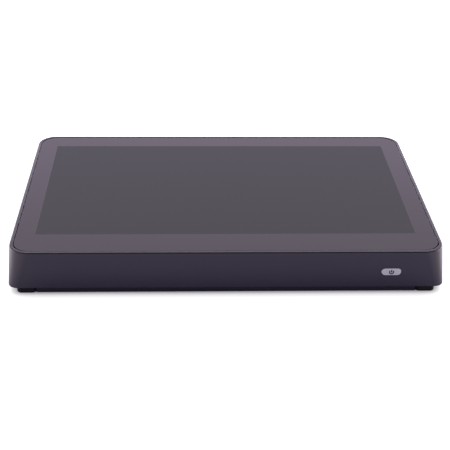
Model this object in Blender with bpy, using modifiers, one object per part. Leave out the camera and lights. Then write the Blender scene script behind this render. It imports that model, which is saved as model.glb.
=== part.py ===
"""Flat all-in-one point-of-sale terminal, lying level on its four rubber feet.

Metres, +Z up. The origin is on the table under the middle of the terminal, the operator
sits on the -Y side, and the sockets are in the rear wall on the +Y side.
Heights are stacked from the table up, and the plan is laid out from the picture area out.
"""

import math

import bmesh
import bpy
from mathutils import Matrix, Vector
from mathutils.geometry import interpolate_bezier

# Clearances and overruns that all pieces share
SEAT = 0.0003
CUT = 0.004
MERGE = 0.00001

# Picture area of the 15.6 inch display and the borders round it, out to the rim's outer edge
PICTURE_WIDTH = 0.3442
PICTURE_DEPTH = 0.1936
SIDE_BORDER = 0.0212
FRONT_BORDER = 0.0348
REAR_BORDER = 0.0264

# Moulded housing: outer corner at the rim and at the base, wall flare towards the base,
# walls, rim lip and glass ledge
CORNER_RADIUS = 0.0192
BASE_CORNER_RADIUS = 0.0083
WALL_FLARE = math.radians(2.0)
WALL = 0.0024
RIM_LIP = 0.0036
RIM_ROUND = 0.0008
BASE_ROUND = 0.0006
BODY_LIFT = 0.0075

# Cover glass and its gasket
GLASS_THICKNESS = 0.0018
GLASS_RECESS = 0.0002
GLASS_GAP = 0.0005
GLASS_EDGE = 0.0003
GASKET_THICKNESS = 0.0006
GASKET_INSET = 0.0005
GASKET_REVEAL = 0.0008

# Display module under the glass
PANEL_THICKNESS = 0.0012
PANEL_SIDE_MARGIN = 0.00765
PANEL_FRONT_MARGIN = 0.0233
PANEL_REAR_MARGIN = 0.0069
PANEL_GAP = 0.0005
BACKLIGHT_THICKNESS = 0.0017
TRAY_LIP = 0.0010
DRIVER_THICKNESS = 0.0008
DRIVER_DEPTH = 0.0140
DRIVER_INSET = 0.0029
DRIVER_END_MARGIN = 0.0300
DRIVER_PLUG_HEIGHT = 0.0009

# Rails that clamp the display to the ledge
RAIL_SHEET = 0.0008
RAIL_OVERLAP = 0.0134
RAIL_LIP = 0.0050
RAIL_END_MARGIN = 0.0240
RAIL_TAB = 0.0160
RAIL_TAB_MARGIN = 0.0200
LEDGE_MARGIN = 0.0010

# Chassis plate, its folded sides and stand-offs
PLATE_SHEET = 0.0010
PLATE_INSET = 0.0040
PLATE_FOLD = 0.0060
PLATE_FRONT_GAP = 0.0150
STANDOFF_HEIGHT = 0.0050
STANDOFF_RADIUS = 0.0028
POST_CLEARANCE = 0.0020

# Mainboard
BOARD_THICKNESS = 0.0016
BOARD_DEPTH = 0.1640
BOARD_END = 0.0070
BOARD_MARGIN = 0.0090
BOARD_HOLE_INSET = 0.0050
BOARD_REAR_GAP = 0.0015
CHIP_HEIGHT = 0.0012
CHIP_WIDTH = 0.0120
COIL_HEIGHT = 0.0042
COIL_WIDTH = 0.0065
COIL_PITCH = 0.0098
CABLE_SOCKET_HEIGHT = 0.0019
CABLE_SOCKET_DEPTH = 0.0050

# Processor, its pad and the finned heat sink
PROCESSOR_WIDTH = 0.0300
PROCESSOR_HEIGHT = 0.0012
PAD_HEIGHT = 0.0005
SINK_BASE = 0.0030
SINK_GROUND_GAP = 0.0035
SINK_SIDE_GAP = 0.0045
FIN = 0.0016
FIN_GAP = 0.0036

# Plug-in cards under the mainboard
CARD_MARGIN = 0.0040
CARD_GAP = 0.0060
CARD_THICKNESS = 0.0010
CARD_ENTRY = 0.0025
CARD_CHIP_HEIGHT = 0.0010
CARD_CHIP_PITCH = 0.0180
MEMORY_LENGTH = 0.0676
MEMORY_CHIP_PITCH = 0.0159
MEMORY_DEPTH = 0.0300
MEMORY_SOCKET_DEPTH = 0.0064
MEMORY_SOCKET_HEIGHT = 0.0048
MEMORY_ARM = 0.0020
STORAGE_LENGTH = 0.0800
STORAGE_WIDTH = 0.0220
WIRELESS_LENGTH = 0.0300
EDGE_SOCKET_DEPTH = 0.0080
EDGE_SOCKET_HEIGHT = 0.0042

# Coin cell and its holder
CELL_RADIUS = 0.0100
CELL_HEIGHT = 0.0032
HOLDER_WALL = 0.0016
HOLDER_FLOOR = 0.0010
CELL_SHOW = 0.0008
CELL_FROM_SINK = 0.0120

# Sockets in the rear wall: width, height and depth of each, in the order of the row,
# and the share of the rim's width that the row takes
DC_INLET_SIZE = (0.0090, 0.0110, 0.0140)
DRAWER_SOCKET_SIZE = (0.0132, 0.0130, 0.0180)
SERIAL_SOCKET_SIZE = (0.0308, 0.0125, 0.0100)
VIDEO_SOCKET_SIZE = (0.0150, 0.0062, 0.0120)
NETWORK_SOCKET_SIZE = (0.0160, 0.0135, 0.0210)
PERIPHERAL_SOCKET_SIZE = (0.0144, 0.0154, 0.0175)
AUDIO_SOCKET_SIZE = (0.0075, 0.0062, 0.0120)
SOCKET_ROW_SHARE = 0.48085
SOCKET_PROUD = 0.0008
SOCKET_FLOOR = 0.0030
NETWORK_MOUTH = (0.0118, 0.0084)
DRAWER_MOUTH = (0.0098, 0.0068)
LATCH_SLOT = (0.0062, 0.0018)
PERIPHERAL_MOUTH = (0.0126, 0.0054)
VIDEO_MOUTH = (0.0138, 0.0045)
INLET_RADIUS = 0.0033
INLET_PIN = 0.0010
AUDIO_RADIUS = 0.0018
SERIAL_REACH = 0.0040
SERIAL_SHELL = 0.0005
SERIAL_SHELL_WIDTH = 0.0175
SERIAL_SHELL_HEIGHT = 0.0088
SERIAL_SHELL_ROUND = 0.0022
SERIAL_PIN = 0.0005
SERIAL_PIN_PITCH = 0.00277
SERIAL_PIN_ROW = 0.00142
SERIAL_NUT = 0.0026
SERIAL_NUT_PITCH = 0.0250
TONGUE = 0.0014
TONGUE_SHORT = 0.0012

# Sheet bracket round the sockets and the window in front of it
BRACKET_SHEET = 0.0008
BRACKET_INSET = 0.0008
BRACKET_STRIP = 0.0014
BRACKET_FLANGE = 0.0035
BRACKET_END = 0.0060
WINDOW_END = 0.0035
WINDOW_ABOVE = 0.0010
WINDOW_BELOW = 0.0005
WINDOW_CORNER = 0.0020

# Power button, its guide and its switch, along the direction of the push
BUTTON_FROM_SIDE = 0.0476
BUTTON_DROP = 0.0196
BUTTON_WIDTH = 0.0176
BUTTON_HEIGHT = 0.0069
BUTTON_PROUD = 0.0003
BUTTON_GAP = 0.0004
BUTTON_FLANGE = 0.0014
BUTTON_FLANGE_DEPTH = 0.0012
BUTTON_EDGE = 0.0003
BUTTON_TRAVEL = 0.0007
STEM_RADIUS = 0.0016
GUIDE_WIDTH = 0.0262
GUIDE_HEIGHT = 0.0150
GUIDE_FLOOR = 0.0014
GUIDE_POST = 0.0024
GUIDE_CORNER = 0.0022
PLUNGER_RADIUS = 0.0017
PLUNGER_LENGTH = 0.0026
PLUNGER_GUIDED = 0.0014
SWITCH_WIDTH = 0.0062
SWITCH_DEPTH = 0.0036
SWITCH_BOARD = 0.0012

# Bottom cover: lid, plinth, feet pockets
LID = 0.0020
LID_RECESS = 0.0002
PLINTH_SIDE_INSET = 0.0072
PLINTH_END_INSET = 0.0042
PLINTH_WALL = 0.0020
PLINTH_FLOOR = 0.0026
PLINTH_GROUND_GAP = 0.0006
PLINTH_ROUND = 0.0008

# Rubber feet with a push-in peg
FOOT_WIDTH = 0.0174
FOOT_CORNER = 0.0040
FOOT_ROUND = 0.0009
PEG_RADIUS = 0.0030
PEG_HEAD = 0.0012
PEG_TIP = 0.0022
PEG_HEAD_HEIGHT = 0.0034

# Screws, their wells in the cover and their posts in the housing
SHANK_RADIUS = 0.0014
SHANK_LENGTH = 0.0080
HEAD_RADIUS = 0.0026
HEAD_HEIGHT = 0.0018
HEAD_SLOT = 0.0008
WELL_RADIUS = 0.0031
WELL_WALL = 0.0011
WELL_SHELF = 0.0025
WELL_RISE = 0.0013
POST_WALL = 0.0015
PILOT_DEPTH = 0.0110

# Stand mount: four threaded inserts in a square
STAND_PITCH = 0.1000
INSERT_RADIUS = 0.0030
INSERT_BORE = 0.0017
INSERT_LENGTH = 0.0070
STAND_BOSS_WALL = 0.0018
STAND_BOSS_FLOOR = 0.0014
STAND_PAD_MARGIN = 0.0050
STAND_PAD_RELIEF = 0.0006
STAND_PAD_CORNER = 0.0060

# Service hatch, its screws and tongues
HATCH_DEPTH = 0.0760
HATCH_THICKNESS = 0.0012
HATCH_LAND = 0.0030
HATCH_MARGIN = 0.0090
HATCH_CORNER = 0.0030
HATCH_SCREW_INSET = 0.0042
HATCH_BOSS_RISE = 0.0050
HATCH_SCREW_FROM_END = 0.0140
HATCH_SHANK_LENGTH = 0.0040
HATCH_TAB_WIDTH = 0.0120
HATCH_TAB_REACH = 0.0040
HATCH_TAB = 0.0012
HATCH_TAB_FROM_END = 0.0180

# Vent and grille slots
VENT_WIDTH = 0.0024
VENT_PITCH = 0.0060
VENT_LENGTH = 0.0330
VENT_BRIDGE = 0.0060
VENT_SIDE_MARGIN = 0.0235
REAR_VENT_WIDTH = 0.0022
REAR_VENT_PITCH = 0.0052
REAR_VENT_MARGIN = 0.0140
REAR_VENT_EDGE = 0.0045
GRILLE_LENGTH = 0.0150
GRILLE_PITCH = 0.0045
GRILLE_SLOTS = 6

# Speakers
SPEAKER_WIDTH = 0.0240
SPEAKER_LENGTH = 0.0700
SPEAKER_HEIGHT = 0.0130
SPEAKER_FORWARD = 0.0300
SPEAKER_SIDE_GAP = 0.0010
SPEAKER_CORNER = 0.0030
CONE_RADIUS = 0.0095
CONE_DEPTH = 0.0045
DOME_RADIUS = 0.0035

# Antennas stuck under the ledge
ANTENNA_LENGTH = 0.0350
ANTENNA_THICKNESS = 0.0006

# Touch controller board and the two flat cables
TOUCH_LENGTH = 0.0500
TOUCH_DEPTH = 0.0200
TOUCH_THICKNESS = 0.0010
TOUCH_FROM_MIDDLE = 0.0750
TOUCH_PLUG_HEIGHT = 0.0018
TOUCH_INSET = 0.0020
CABLE_THICKNESS = 0.0003
TOUCH_CABLE_WIDTH = 0.0140
TOUCH_CABLE_CLEARANCE = 0.0007
DISPLAY_CABLE_WIDTH = 0.0160
DISPLAY_CABLE_X = 0.0200
CABLE_BEND = 0.0060

# Counts and angles
COILS = 4
CORNER_STEPS = 8
SMALL_CORNER_STEPS = 3
ROUND_STEPS = 20
SMALL_ROUND_STEPS = 12
EDGE_STEPS = 3
SHARP_ANGLE = math.radians(35)

# Heights, from the table up
lid_low = BODY_LIFT + LID_RECESS
lid_top = lid_low + LID
floor_low = PLINTH_GROUND_GAP
floor_top = floor_low + PLINTH_FLOOR
bracket_low = lid_top + SEAT
SOCKET_ROW = [
    ("dc_inlet", DC_INLET_SIZE, "switch_plastic"),
    ("drawer_socket", DRAWER_SOCKET_SIZE, "switch_plastic"),
    ("serial_socket", SERIAL_SOCKET_SIZE, "socket_steel"),
    ("video_socket", VIDEO_SOCKET_SIZE, "socket_steel"),
    ("network_socket", NETWORK_SOCKET_SIZE, "socket_steel"),
    ("peripheral_socket_1", PERIPHERAL_SOCKET_SIZE, "socket_steel"),
    ("peripheral_socket_2", PERIPHERAL_SOCKET_SIZE, "socket_steel"),
    ("peripheral_socket_3", PERIPHERAL_SOCKET_SIZE, "socket_steel"),
    ("audio_socket", AUDIO_SOCKET_SIZE, "switch_plastic"),
]
socket_top = bracket_low + BRACKET_STRIP + SEAT + max(size[1] for _, size, _ in SOCKET_ROW)
board_low = socket_top + SEAT
board_top = board_low + BOARD_THICKNESS
plate_low = board_top + SEAT + STANDOFF_HEIGHT
plate_top = plate_low + PLATE_SHEET
rail_low = plate_top + SEAT
rail_top = rail_low + RAIL_SHEET
backlight_low = rail_top + SEAT
backlight_top = backlight_low + BACKLIGHT_THICKNESS
panel_low = backlight_top + SEAT
panel_top = panel_low + PANEL_THICKNESS
glass_low = panel_top + SEAT
glass_top = glass_low + GLASS_THICKNESS
rim_z = glass_top + GLASS_RECESS
gasket_low = glass_low - SEAT - GASKET_THICKNESS
ledge_top = gasket_low - SEAT
ledge_low = rail_top + SEAT
well_top = lid_top + WELL_RISE
post_low = well_top + SEAT

# Plan of the rim and of the display module
rim_width = PICTURE_WIDTH + 2 * SIDE_BORDER
rim_depth = PICTURE_DEPTH + FRONT_BORDER + REAR_BORDER
half_x = rim_width / 2
half_y = rim_depth / 2
picture_front = FRONT_BORDER - half_y
panel_half = PICTURE_WIDTH / 2 + PANEL_SIDE_MARGIN
panel_front = picture_front - PANEL_FRONT_MARGIN
panel_rear = picture_front + PICTURE_DEPTH + PANEL_REAR_MARGIN


def flare(height):
    """How far the wall stands out at this height, beyond the rim."""
    return (rim_z - height) * math.tan(WALL_FLARE)


def tighter(height):
    """How much smaller the wall's corner radius is at this height than a plain offset gives."""
    whole = CORNER_RADIUS + flare(BODY_LIFT) - BASE_CORNER_RADIUS
    return whole * (rim_z - height) / (rim_z - BODY_LIFT)


# Plan of the plinth and the feet
plinth_half_x = half_x + flare(BODY_LIFT) - PLINTH_SIDE_INSET
plinth_half_y = half_y + flare(BODY_LIFT) - PLINTH_END_INSET
foot_x = plinth_half_x - FOOT_WIDTH / 2
foot_y = plinth_half_y - FOOT_WIDTH / 2
well_outer = WELL_RADIUS + WELL_WALL
screw_x = plinth_half_x - FOOT_WIDTH - SEAT - PLINTH_WALL / 2 - well_outer
screw_y = plinth_half_y - PLINTH_WALL / 2 - well_outer
post_radius = SHANK_RADIUS + SEAT + POST_WALL
SIDES = [(-1, "left"), (1, "right")]
CORNERS = [(-1, -1, "front_left"), (1, -1, "front_right"), (-1, 1, "rear_left"), (1, 1, "rear_right")]

# Plan of the stand mount, heat sink, mainboard and socket row
boss_radius = INSERT_RADIUS + SEAT + STAND_BOSS_WALL
sink_half = STAND_PITCH / 2 - boss_radius - SINK_SIDE_GAP
bracket_face = half_y - WALL - BRACKET_INSET + flare(ledge_low)
board_rear = bracket_face - BRACKET_SHEET - BOARD_REAR_GAP
board_front = board_rear - BOARD_DEPTH
row_width = rim_width * SOCKET_ROW_SHARE
socket_gap = (row_width - sum(size[0] for _, size, _ in SOCKET_ROW)) / (len(SOCKET_ROW) - 1)
board_right = sink_half + BOARD_MARGIN
board_left = board_right - row_width - 2 * BOARD_END
row_left = board_left + BOARD_END
row_right = row_left + row_width
driver_front = panel_front + DRIVER_INSET
driver_rear = driver_front + DRIVER_DEPTH
plate_half = panel_half - PLATE_INSET
plate_front = driver_rear + PLATE_FRONT_GAP
speaker_outer = plinth_half_x - PLINTH_WALL - SPEAKER_SIDE_GAP
speaker_inner = speaker_outer - SPEAKER_WIDTH
hatch_right = -STAND_PITCH / 2 - boss_radius - HATCH_MARGIN
hatch_left = -speaker_inner + HATCH_MARGIN
hatch_screw_y = HATCH_DEPTH / 2 - HATCH_SCREW_FROM_END
hatch_tab_y = HATCH_DEPTH / 2 - HATCH_TAB_FROM_END
side_vent_left = -hatch_right
side_vent_length = (speaker_inner - VENT_SIDE_MARGIN - side_vent_left - VENT_BRIDGE) / 2
memory_low = socket_top - MEMORY_SOCKET_HEIGHT
card_left = board_left + CARD_MARGIN
cards_right = card_left + STORAGE_LENGTH - CARD_ENTRY + EDGE_SOCKET_DEPTH
sink_left = max(-sink_half, cards_right + CARD_MARGIN)
sink_middle = (sink_left + sink_half) / 2
memory_front = board_front + CARD_MARGIN
storage_front = memory_front + MEMORY_DEPTH + MEMORY_SOCKET_DEPTH + CARD_GAP
wireless_front = storage_front + STORAGE_WIDTH + CARD_GAP


# Scene, collections and finishes
for leftover in list(bpy.data.objects):
    bpy.data.objects.remove(leftover, do_unlink=True)

pieces = bpy.data.collections.new("pos_terminal")
cutters = bpy.data.collections.new("cutters")
bpy.context.scene.collection.children.link(pieces)
bpy.context.scene.collection.children.link(cutters)

FINISHES = {
    "housing_plastic": ((0.040, 0.034, 0.050), 0.45, 0.0),
    "cover_plastic": ((0.022, 0.020, 0.026), 0.60, 0.0),
    "black_glass": ((0.012, 0.011, 0.014), 0.06, 0.0),
    "gasket_foam": ((0.010, 0.010, 0.010), 0.95, 0.0),
    "foot_rubber": ((0.012, 0.012, 0.012), 0.85, 0.0),
    "button_silver": ((0.42, 0.41, 0.46), 0.35, 0.6),
    "switch_plastic": ((0.020, 0.020, 0.022), 0.55, 0.0),
    "panel_film": ((0.030, 0.030, 0.033), 0.25, 0.0),
    "sheet_steel": ((0.55, 0.56, 0.57), 0.35, 1.0),
    "fin_aluminium": ((0.60, 0.61, 0.63), 0.40, 1.0),
    "board_laminate": ((0.015, 0.090, 0.050), 0.50, 0.0),
    "chip_resin": ((0.015, 0.015, 0.016), 0.50, 0.0),
    "pad_silicone": ((0.35, 0.38, 0.42), 0.80, 0.0),
    "cell_steel": ((0.62, 0.62, 0.60), 0.30, 1.0),
    "socket_steel": ((0.58, 0.58, 0.58), 0.30, 1.0),
    "insert_brass": ((0.70, 0.50, 0.20), 0.35, 1.0),
    "screw_steel": ((0.08, 0.08, 0.085), 0.40, 1.0),
    "ribbon_film": ((0.45, 0.30, 0.12), 0.50, 0.0),
}


def material(name):
    """The named finish as a Principled material, made the first time it is asked for."""
    if name in bpy.data.materials:
        return bpy.data.materials[name]
    colour, roughness, metallic = FINISHES[name]
    made = bpy.data.materials.new(name)
    made.use_nodes = True
    shader = made.node_tree.nodes["Principled BSDF"]
    shader.inputs["Base Color"].default_value = (*colour, 1)
    shader.inputs["Roughness"].default_value = roughness
    shader.inputs["Metallic"].default_value = metallic
    return made


# Shapes added to a mesh in the making
def add_box(bm, low, high):
    """A box between two corners."""
    low, high = Vector(low), Vector(high)
    verts = bmesh.ops.create_cube(bm, size=1)["verts"]
    bmesh.ops.scale(bm, vec=high - low, verts=verts)
    bmesh.ops.translate(bm, vec=(low + high) / 2, verts=verts)


def add_drum(bm, centre, radius, low, high, top_radius=None, steps=ROUND_STEPS):
    """An upright cylinder, or a cone where the top has its own radius."""
    top_radius = radius if top_radius is None else top_radius
    verts = bmesh.ops.create_cone(
        bm, cap_ends=True, segments=steps, radius1=radius, radius2=top_radius, depth=high - low
    )["verts"]
    bmesh.ops.translate(bm, vec=(centre[0], centre[1], (low + high) / 2), verts=verts)


def add_rounded(bm, low, high, radius, levels, steps=CORNER_STEPS, tighten=lambda height: 0):
    """A block on a plan with rounded corners. A level is its height and how far the plan grows there.

    The corners may tighten with height, by what the last argument gives for it.
    """
    middle = (Vector(low) + Vector(high)) / 2
    reach = (Vector(high) - Vector(low)) / 2 - Vector((radius, radius))
    rings = []
    for height, growth in levels:
        tight = tighten(height)
        ring = []
        for quarter in range(4):
            for step in range(steps + 1):
                turn = math.pi / 2 * (quarter + step / steps)
                way = Vector((math.cos(turn), math.sin(turn)))
                side = Vector((1 if quarter in (0, 3) else -1, 1 if quarter < 2 else -1))
                spot = middle + (reach + Vector((tight, tight))) * side + way * (radius + growth - tight)
                ring.append(bm.verts.new((spot.x, spot.y, height)))
        edges = [bm.edges.new((ring[i - 1], ring[i])) for i in range(len(ring))]
        rings.append((ring, edges))
    for lower, upper in zip(rings, rings[1:]):
        bmesh.ops.bridge_loops(bm, edges=lower[1] + upper[1])
    bm.faces.new(rings[0][0])
    bm.faces.new(rings[-1][0])


def add_sheet(bm, path, sweep):
    """An open surface, swept sideways from a line of points. Solidify gives it its thickness."""
    verts = [bm.verts.new(point) for point in path]
    edges = [bm.edges.new(pair) for pair in zip(verts, verts[1:])]
    swept = bmesh.ops.extrude_edge_only(bm, edges=edges)["geom"]
    moved = [item for item in swept if isinstance(item, bmesh.types.BMVert)]
    bmesh.ops.translate(bm, vec=sweep, verts=moved)


def rounded_levels(low, high, low_round, high_round, lean=lambda height: 0):
    """Levels of an upright block whose lower and upper edges are rounded, on a wall that may lean."""
    levels = []
    for step in range(EDGE_STEPS + 1):
        turn = math.pi / 2 * step / EDGE_STEPS
        height = low + low_round * (1 - math.cos(turn))
        levels.append((height, lean(height) - low_round * (1 - math.sin(turn))))
    for step in range(EDGE_STEPS + 1):
        turn = math.pi / 2 * step / EDGE_STEPS
        height = high - high_round * (1 - math.sin(turn))
        levels.append((height, lean(height) - high_round * (1 - math.cos(turn))))
    return levels


def face_front(bm):
    """Turns a shape drawn in plan so that its height runs inwards along +Y."""
    bmesh.ops.rotate(bm, matrix=Matrix.Rotation(-math.pi / 2, 3, "X"), verts=bm.verts)


# Objects made from those shapes
def to_object(name, bm, collection, origin, parent):
    bmesh.ops.recalc_face_normals(bm, faces=bm.faces)
    if bm.calc_volume(signed=True) < 0:
        bmesh.ops.reverse_faces(bm, faces=bm.faces)
    bmesh.ops.translate(bm, vec=-Vector(origin), verts=bm.verts)
    mesh = bpy.data.meshes.new(name)
    bm.to_mesh(mesh)
    bm.free()
    made = bpy.data.objects.new(name, mesh)
    made.location = origin
    made.parent = parent
    collection.objects.link(made)
    return made


def piece(name, bm, finish, origin=(0, 0, 0), parent=None):
    """A piece of the terminal, with its origin at the point where it is held."""
    made = to_object(name, bm, pieces, origin, parent)
    made.data.shade_smooth()
    made.data.set_sharp_from_angle(angle=SHARP_ANGLE)
    made.data.materials.append(material(finish))
    return made


def tool(name, bm, parent=None):
    """A shape that is cut from a piece or joined to it, and isn't a piece itself."""
    made = to_object(name, bm, cutters, (0, 0, 0), parent)
    made.hide_render = True
    made.display_type = "WIRE"
    return made


def combine(target, operand, operation):
    boolean = target.modifiers.new(operand.name, "BOOLEAN")
    boolean.operation = operation
    boolean.solver = "EXACT"
    boolean.object = operand


def cut(target, name, bm, parent=None):
    combine(target, tool(name, bm, parent), "DIFFERENCE")


def join(target, name, bm, parent=None):
    combine(target, tool(name, bm, parent), "UNION")


def thicken(target, thickness):
    """Gives an open sheet its thickness, half on each side."""
    solidify = target.modifiers.new("thickness", "SOLIDIFY")
    solidify.thickness = thickness
    solidify.offset = 0
    solidify.use_even_offset = True


def turn(target, steps=ROUND_STEPS):
    """Turns a profile round its own upright axis."""
    screw = target.modifiers.new("turn", "SCREW")
    screw.steps = steps
    screw.render_steps = steps
    screw.use_merge_vertices = True
    screw.merge_threshold = MERGE
    return target


def profile_mesh(profile):
    """A profile of radius and height, from top to bottom down the outer side. A tube's is a closed loop."""
    bm = bmesh.new()
    verts = [bm.verts.new((radius, 0, height)) for radius, height in profile]
    if profile[0][0] > 0:
        verts.append(verts[0])
    for pair in zip(verts, verts[1:]):
        bm.edges.new(pair)
    return bm


def turned_piece(name, profile, finish, centre, steps=ROUND_STEPS):
    made = piece(name, profile_mesh(profile), finish)
    made.location = (*centre, 0)
    return turn(made, steps)


def turned_tool(name, profile, centre, steps=ROUND_STEPS):
    made = tool(name, profile_mesh(profile))
    made.location = (*centre, 0)
    return turn(made, steps)


def add_housing_plan(bm, levels):
    """A block on the housing's own rounded plan. No growth is the rim's outer edge."""
    add_rounded(bm, (-half_x, -half_y), (half_x, half_y), CORNER_RADIUS, levels)


def add_wall_plan(bm, levels):
    """A block that follows the housing's wall, whose corners tighten towards the base."""
    add_rounded(bm, (-half_x, -half_y), (half_x, half_y), CORNER_RADIUS, levels, tighten=tighter)


button_z = rim_z - BUTTON_DROP
button_frame = bpy.data.objects.new("button_frame", None)
button_frame.empty_display_size = BUTTON_WIDTH
button_frame.location = (half_x - BUTTON_FROM_SIDE, -half_y - flare(button_z), button_z)
button_frame.rotation_euler = (-WALL_FLARE, 0, 0)
pieces.objects.link(button_frame)


# Housing
def make_housing():
    bm = bmesh.new()
    add_wall_plan(bm, rounded_levels(BODY_LIFT, rim_z, BASE_ROUND, RIM_ROUND, flare))
    housing = piece("housing", bm, "housing_plastic", origin=(0, 0, BODY_LIFT))

    bm = bmesh.new()
    below = BODY_LIFT - CUT
    add_wall_plan(bm, [(below, flare(below) - WALL), (ledge_low, flare(ledge_low) - WALL)])
    cut(housing, "housing_hollow", bm)

    bm = bmesh.new()
    for side, end, _ in CORNERS:
        spot = (side * screw_x, end * screw_y)
        add_drum(bm, spot, post_radius, post_low, (ledge_low + ledge_top) / 2, steps=SMALL_ROUND_STEPS)
    join(housing, "housing_posts", bm)

    bm = bmesh.new()
    add_housing_plan(bm, [(ledge_top, -RIM_LIP), (rim_z + CUT, -RIM_LIP)])
    cut(housing, "glass_pocket", bm)

    bm = bmesh.new()
    low = (-panel_half - PANEL_GAP, panel_front - PANEL_GAP, ledge_low - CUT)
    add_box(bm, low, (panel_half + PANEL_GAP, panel_rear + PANEL_GAP, ledge_top + CUT))
    cut(housing, "display_window", bm)

    bm = bmesh.new()
    reach = TOUCH_CABLE_WIDTH / 2 + TOUCH_CABLE_CLEARANCE
    notch = 2 * TOUCH_CABLE_CLEARANCE + CABLE_THICKNESS
    low = (-TOUCH_FROM_MIDDLE - reach, panel_front - notch, ledge_low - CUT)
    add_box(bm, low, (-TOUCH_FROM_MIDDLE + reach, panel_front, ledge_top + CUT))
    cut(housing, "touch_cable_notch", bm)

    bm = bmesh.new()
    for side, end, _ in CORNERS:
        spot = (side * screw_x, end * screw_y)
        low, high = post_low - CUT, post_low + PILOT_DEPTH
        add_drum(bm, spot, SHANK_RADIUS + SEAT, low, high, steps=SMALL_ROUND_STEPS)
    cut(housing, "pilot_holes", bm)

    bm = bmesh.new()
    inner, outer = half_y - WALL, half_y + flare(0) + CUT
    low = (row_left - WINDOW_END, -socket_top - WINDOW_ABOVE)
    high = (row_right + WINDOW_END, -lid_top - WINDOW_BELOW)
    add_rounded(bm, low, high, WINDOW_CORNER, [(inner, 0), (outer, 0)], steps=SMALL_CORNER_STEPS)
    vent = row_right + WINDOW_END + REAR_VENT_MARGIN
    while vent < screw_x - post_radius - REAR_VENT_WIDTH:
        low = (vent, REAR_VENT_EDGE - WINDOW_ABOVE - socket_top)
        high = (vent + REAR_VENT_WIDTH, -lid_top - REAR_VENT_EDGE)
        add_rounded(bm, low, high, REAR_VENT_WIDTH / 2 - SEAT, [(inner, 0), (outer, 0)], steps=1)
        vent += REAR_VENT_PITCH
    face_front(bm)
    cut(housing, "rear_openings", bm)

    bm = bmesh.new()
    add_pill(bm, BUTTON_GAP, [(-CUT, 0), (WALL + CUT, 0)])
    face_front(bm)
    cut(housing, "button_hole", bm, button_frame)
    return housing


def add_pill(bm, margin, levels):
    """A block on the button's own outline, grown by a margin, in the plan of the button frame."""
    half_width, half_height = BUTTON_WIDTH / 2, BUTTON_HEIGHT / 2
    levels = [(depth, growth + margin) for depth, growth in levels]
    add_rounded(bm, (-half_width, -half_height), (half_width, half_height), half_height - SEAT, levels)


# Glass, gasket and display
def make_glass_and_gasket():
    bm = bmesh.new()
    inset = -RIM_LIP - GLASS_GAP
    add_housing_plan(bm, rounded_levels(glass_low, glass_top, GLASS_EDGE, GLASS_EDGE, lambda height: inset))
    piece("cover_glass", bm, "black_glass", origin=(0, 0, glass_low))

    bm = bmesh.new()
    inset -= GASKET_INSET
    add_housing_plan(bm, [(gasket_low, inset), (glass_low - SEAT, inset)])
    gasket = piece("glass_gasket", bm, "gasket_foam", origin=(0, 0, gasket_low))
    bm = bmesh.new()
    edge = PANEL_GAP + GASKET_REVEAL
    low = (-panel_half - edge, panel_front - edge, gasket_low - CUT)
    add_box(bm, low, (panel_half + edge, panel_rear + edge, glass_low + CUT))
    cut(gasket, "gasket_window", bm)


def make_display():
    bm = bmesh.new()
    add_box(bm, (-panel_half, panel_front, backlight_low), (panel_half, panel_rear, panel_top))
    tray = piece("display_backlight", bm, "sheet_steel", origin=(0, 0, backlight_low))
    bm = bmesh.new()
    half, front, rear = panel_half - TRAY_LIP, panel_front + TRAY_LIP, panel_rear - TRAY_LIP
    add_box(bm, (-half, front, backlight_top), (half, rear, panel_top + CUT))
    cut(tray, "panel_pocket", bm)

    bm = bmesh.new()
    add_box(bm, (SEAT - half, front + SEAT, panel_low), (half - SEAT, rear - SEAT, panel_top))
    piece("display_panel", bm, "panel_film", origin=(0, 0, panel_low))

    driver_top = backlight_low - SEAT
    driver_low = driver_top - DRIVER_THICKNESS
    end = panel_half - DRIVER_END_MARGIN
    bm = bmesh.new()
    add_box(bm, (-end, driver_front, driver_low), (end, driver_rear, driver_top))
    board = piece("display_driver_board", bm, "board_laminate", origin=(0, driver_front, driver_top))
    bm = bmesh.new()
    plug = DISPLAY_CABLE_WIDTH / 2 + PANEL_GAP
    low = (DISPLAY_CABLE_X - plug, driver_rear - CABLE_SOCKET_DEPTH, driver_low - DRIVER_PLUG_HEIGHT)
    add_box(bm, low, (DISPLAY_CABLE_X + plug, driver_rear, (driver_low + driver_top) / 2))
    join(board, "display_plug", bm)
    return driver_low - DRIVER_PLUG_HEIGHT / 2


def make_rails():
    """Folded steel rails under the long ends of the display, with tabs that reach under the ledge."""
    front, rear = panel_front + RAIL_END_MARGIN, panel_rear - RAIL_END_MARGIN
    middle = (rail_low + rail_top) / 2
    for side, word in SIDES:
        outer = side * (panel_half - RAIL_SHEET / 2)
        path = [(side * (panel_half - RAIL_OVERLAP), front, middle), (outer, front, middle)]
        path.append((outer, front, middle - RAIL_LIP))
        bm = bmesh.new()
        add_sheet(bm, path, (0, rear - front, 0))
        rail = piece(f"display_rail_{word}", bm, "sheet_steel", origin=(outer, (front + rear) / 2, middle))
        thicken(rail, RAIL_SHEET)
        bm = bmesh.new()
        reach = half_x + flare(ledge_low) - WALL - LEDGE_MARGIN
        spots = (front + RAIL_TAB_MARGIN, rear - RAIL_TAB_MARGIN - RAIL_TAB)
        for spot in spots:
            ends = sorted((side * (panel_half - RAIL_OVERLAP / 2), side * reach))
            add_box(bm, (ends[0], spot, rail_low), (ends[1], spot + RAIL_TAB, rail_top))
        join(rail, f"rail_tabs_{word}", bm)


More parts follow.
